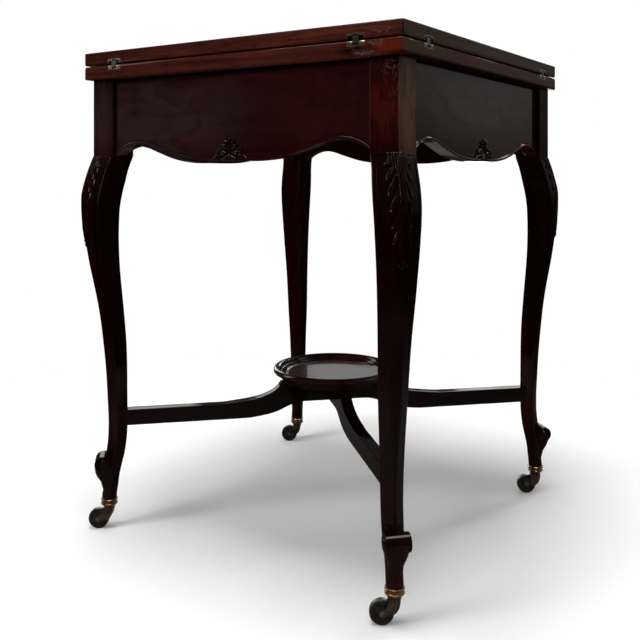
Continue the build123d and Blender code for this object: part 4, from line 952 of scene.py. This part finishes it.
# ---- Light ----
# A soft lamp overhead, one low at the front left and one low behind on the right, and panels that only polish and
# brass show. The backdrop is white to the camera, and polish and brass show it above the floor behind the table.
world = bpy.data.worlds.new("studio")
bpy.context.scene.world = world
world.use_nodes = True
tree = world.node_tree
tree.nodes.clear()
white = (1.0, 1.0, 1.0, 1.0)
light_path = new_node(tree, "LightPath").outputs
direction = new_node(tree, "TexCoord").outputs["Generated"]
height = new_node(tree, "SeparateXYZ", Vector=direction).outputs["Z"]
towards_back = maths(tree, "DOT_PRODUCT", direction, (0.10, 0.99, 0.0), kind="VectorMath")
wall = maths(tree, "MULTIPLY", value_range(tree, towards_back, -0.25, 0.75, 0.0, 1.0),
             value_range(tree, height, -0.04, 0.22, 0.0, 1.0))
wall_in_gloss = maths(tree, "MULTIPLY", light_path["Is Glossy Ray"], wall)
shown = maths(tree, "MAXIMUM", light_path["Is Camera Ray"], wall_in_gloss)
shown = maths(tree, "MAXIMUM", shown, light_path["Is Transmission Ray"])
backdrop = new_node(tree, "Background", white, 1.0).outputs[0]
room = new_node(tree, "Background", white, value_range(tree, height, -0.1, 0.9, 0.08, 0.50)).outputs[0]
new_node(tree, "OutputWorld", new_node(tree, "MixShader", shown, room, backdrop).outputs[0])


def soft_light(name, place, size, energy, aim=(0.0, 0.0, 0.4)):
    """A square lamp that looks at the table."""
    lamp = bpy.data.lights.new(name, "AREA")
    lamp.shape = "SQUARE"
    lamp.size = size
    lamp.energy = energy
    lamp_object = bpy.data.objects.new(name, lamp)
    bpy.context.scene.collection.objects.link(lamp_object)
    lamp_object.location = place
    lamp_object.rotation_euler = (Vector(aim) - Vector(place)).to_track_quat("-Z", "Y").to_euler()
    lamp_object.visible_camera = False
    return lamp_object


def gloss_panel(name, place, width, height, energy):
    """A soft panel that lights no surface by itself: polish and brass alone show it."""
    panel = soft_light(name, place, width, energy)
    panel.data.shape = "RECTANGLE"
    panel.data.size_y = height
    panel.visible_diffuse = False
    return panel


soft_light("overhead_light", (0.0, -0.2, 2.7), 1.1, 64.0)
soft_light("front_light", (-1.15, -2.3, 1.75), 1.00, 30.0).visible_glossy = False
soft_light("rear_light", (0.9, 2.6, 1.9), 0.40, 12.0)
gloss_panel("gloss_ceiling", (0.0, 0.0, 2.9), 2.4, 2.4, 800.0)
gloss_panel("gloss_left", (-2.7, -1.1, 1.5), 0.8, 1.8, 70.0)
gloss_panel("gloss_right", (2.7, 0.9, 1.2), 1.0, 1.8, 16.0)
gloss_panel("gloss_back_left", (-2.6, 1.7, 1.2), 1.0, 1.6, 90.0)
gloss_panel("gloss_back", (-0.7, 2.9, 1.0), 0.7, 1.8, 70.0)

# ---- Camera ----
# It stands level at the near corner, below the table's top, and its picture is shifted down to take in the feet.
# So the legs stay upright in the picture, as they are in the photograph.
camera = bpy.data.cameras.new("camera")
camera.sensor_width = 36.0
camera.lens = 47.08
camera.shift_x = -0.0097
camera.shift_y = -0.2332
camera_object = bpy.data.objects.new("camera", camera)
bpy.context.scene.collection.objects.link(camera_object)
camera_object.location = (0.74865, -1.15802, 0.55655)
camera_object.rotation_euler = (math.pi / 2, 0.0, math.radians(33.38))
bpy.context.scene.camera = camera_object
bpy.context.scene.view_settings.view_transform = "Standard"
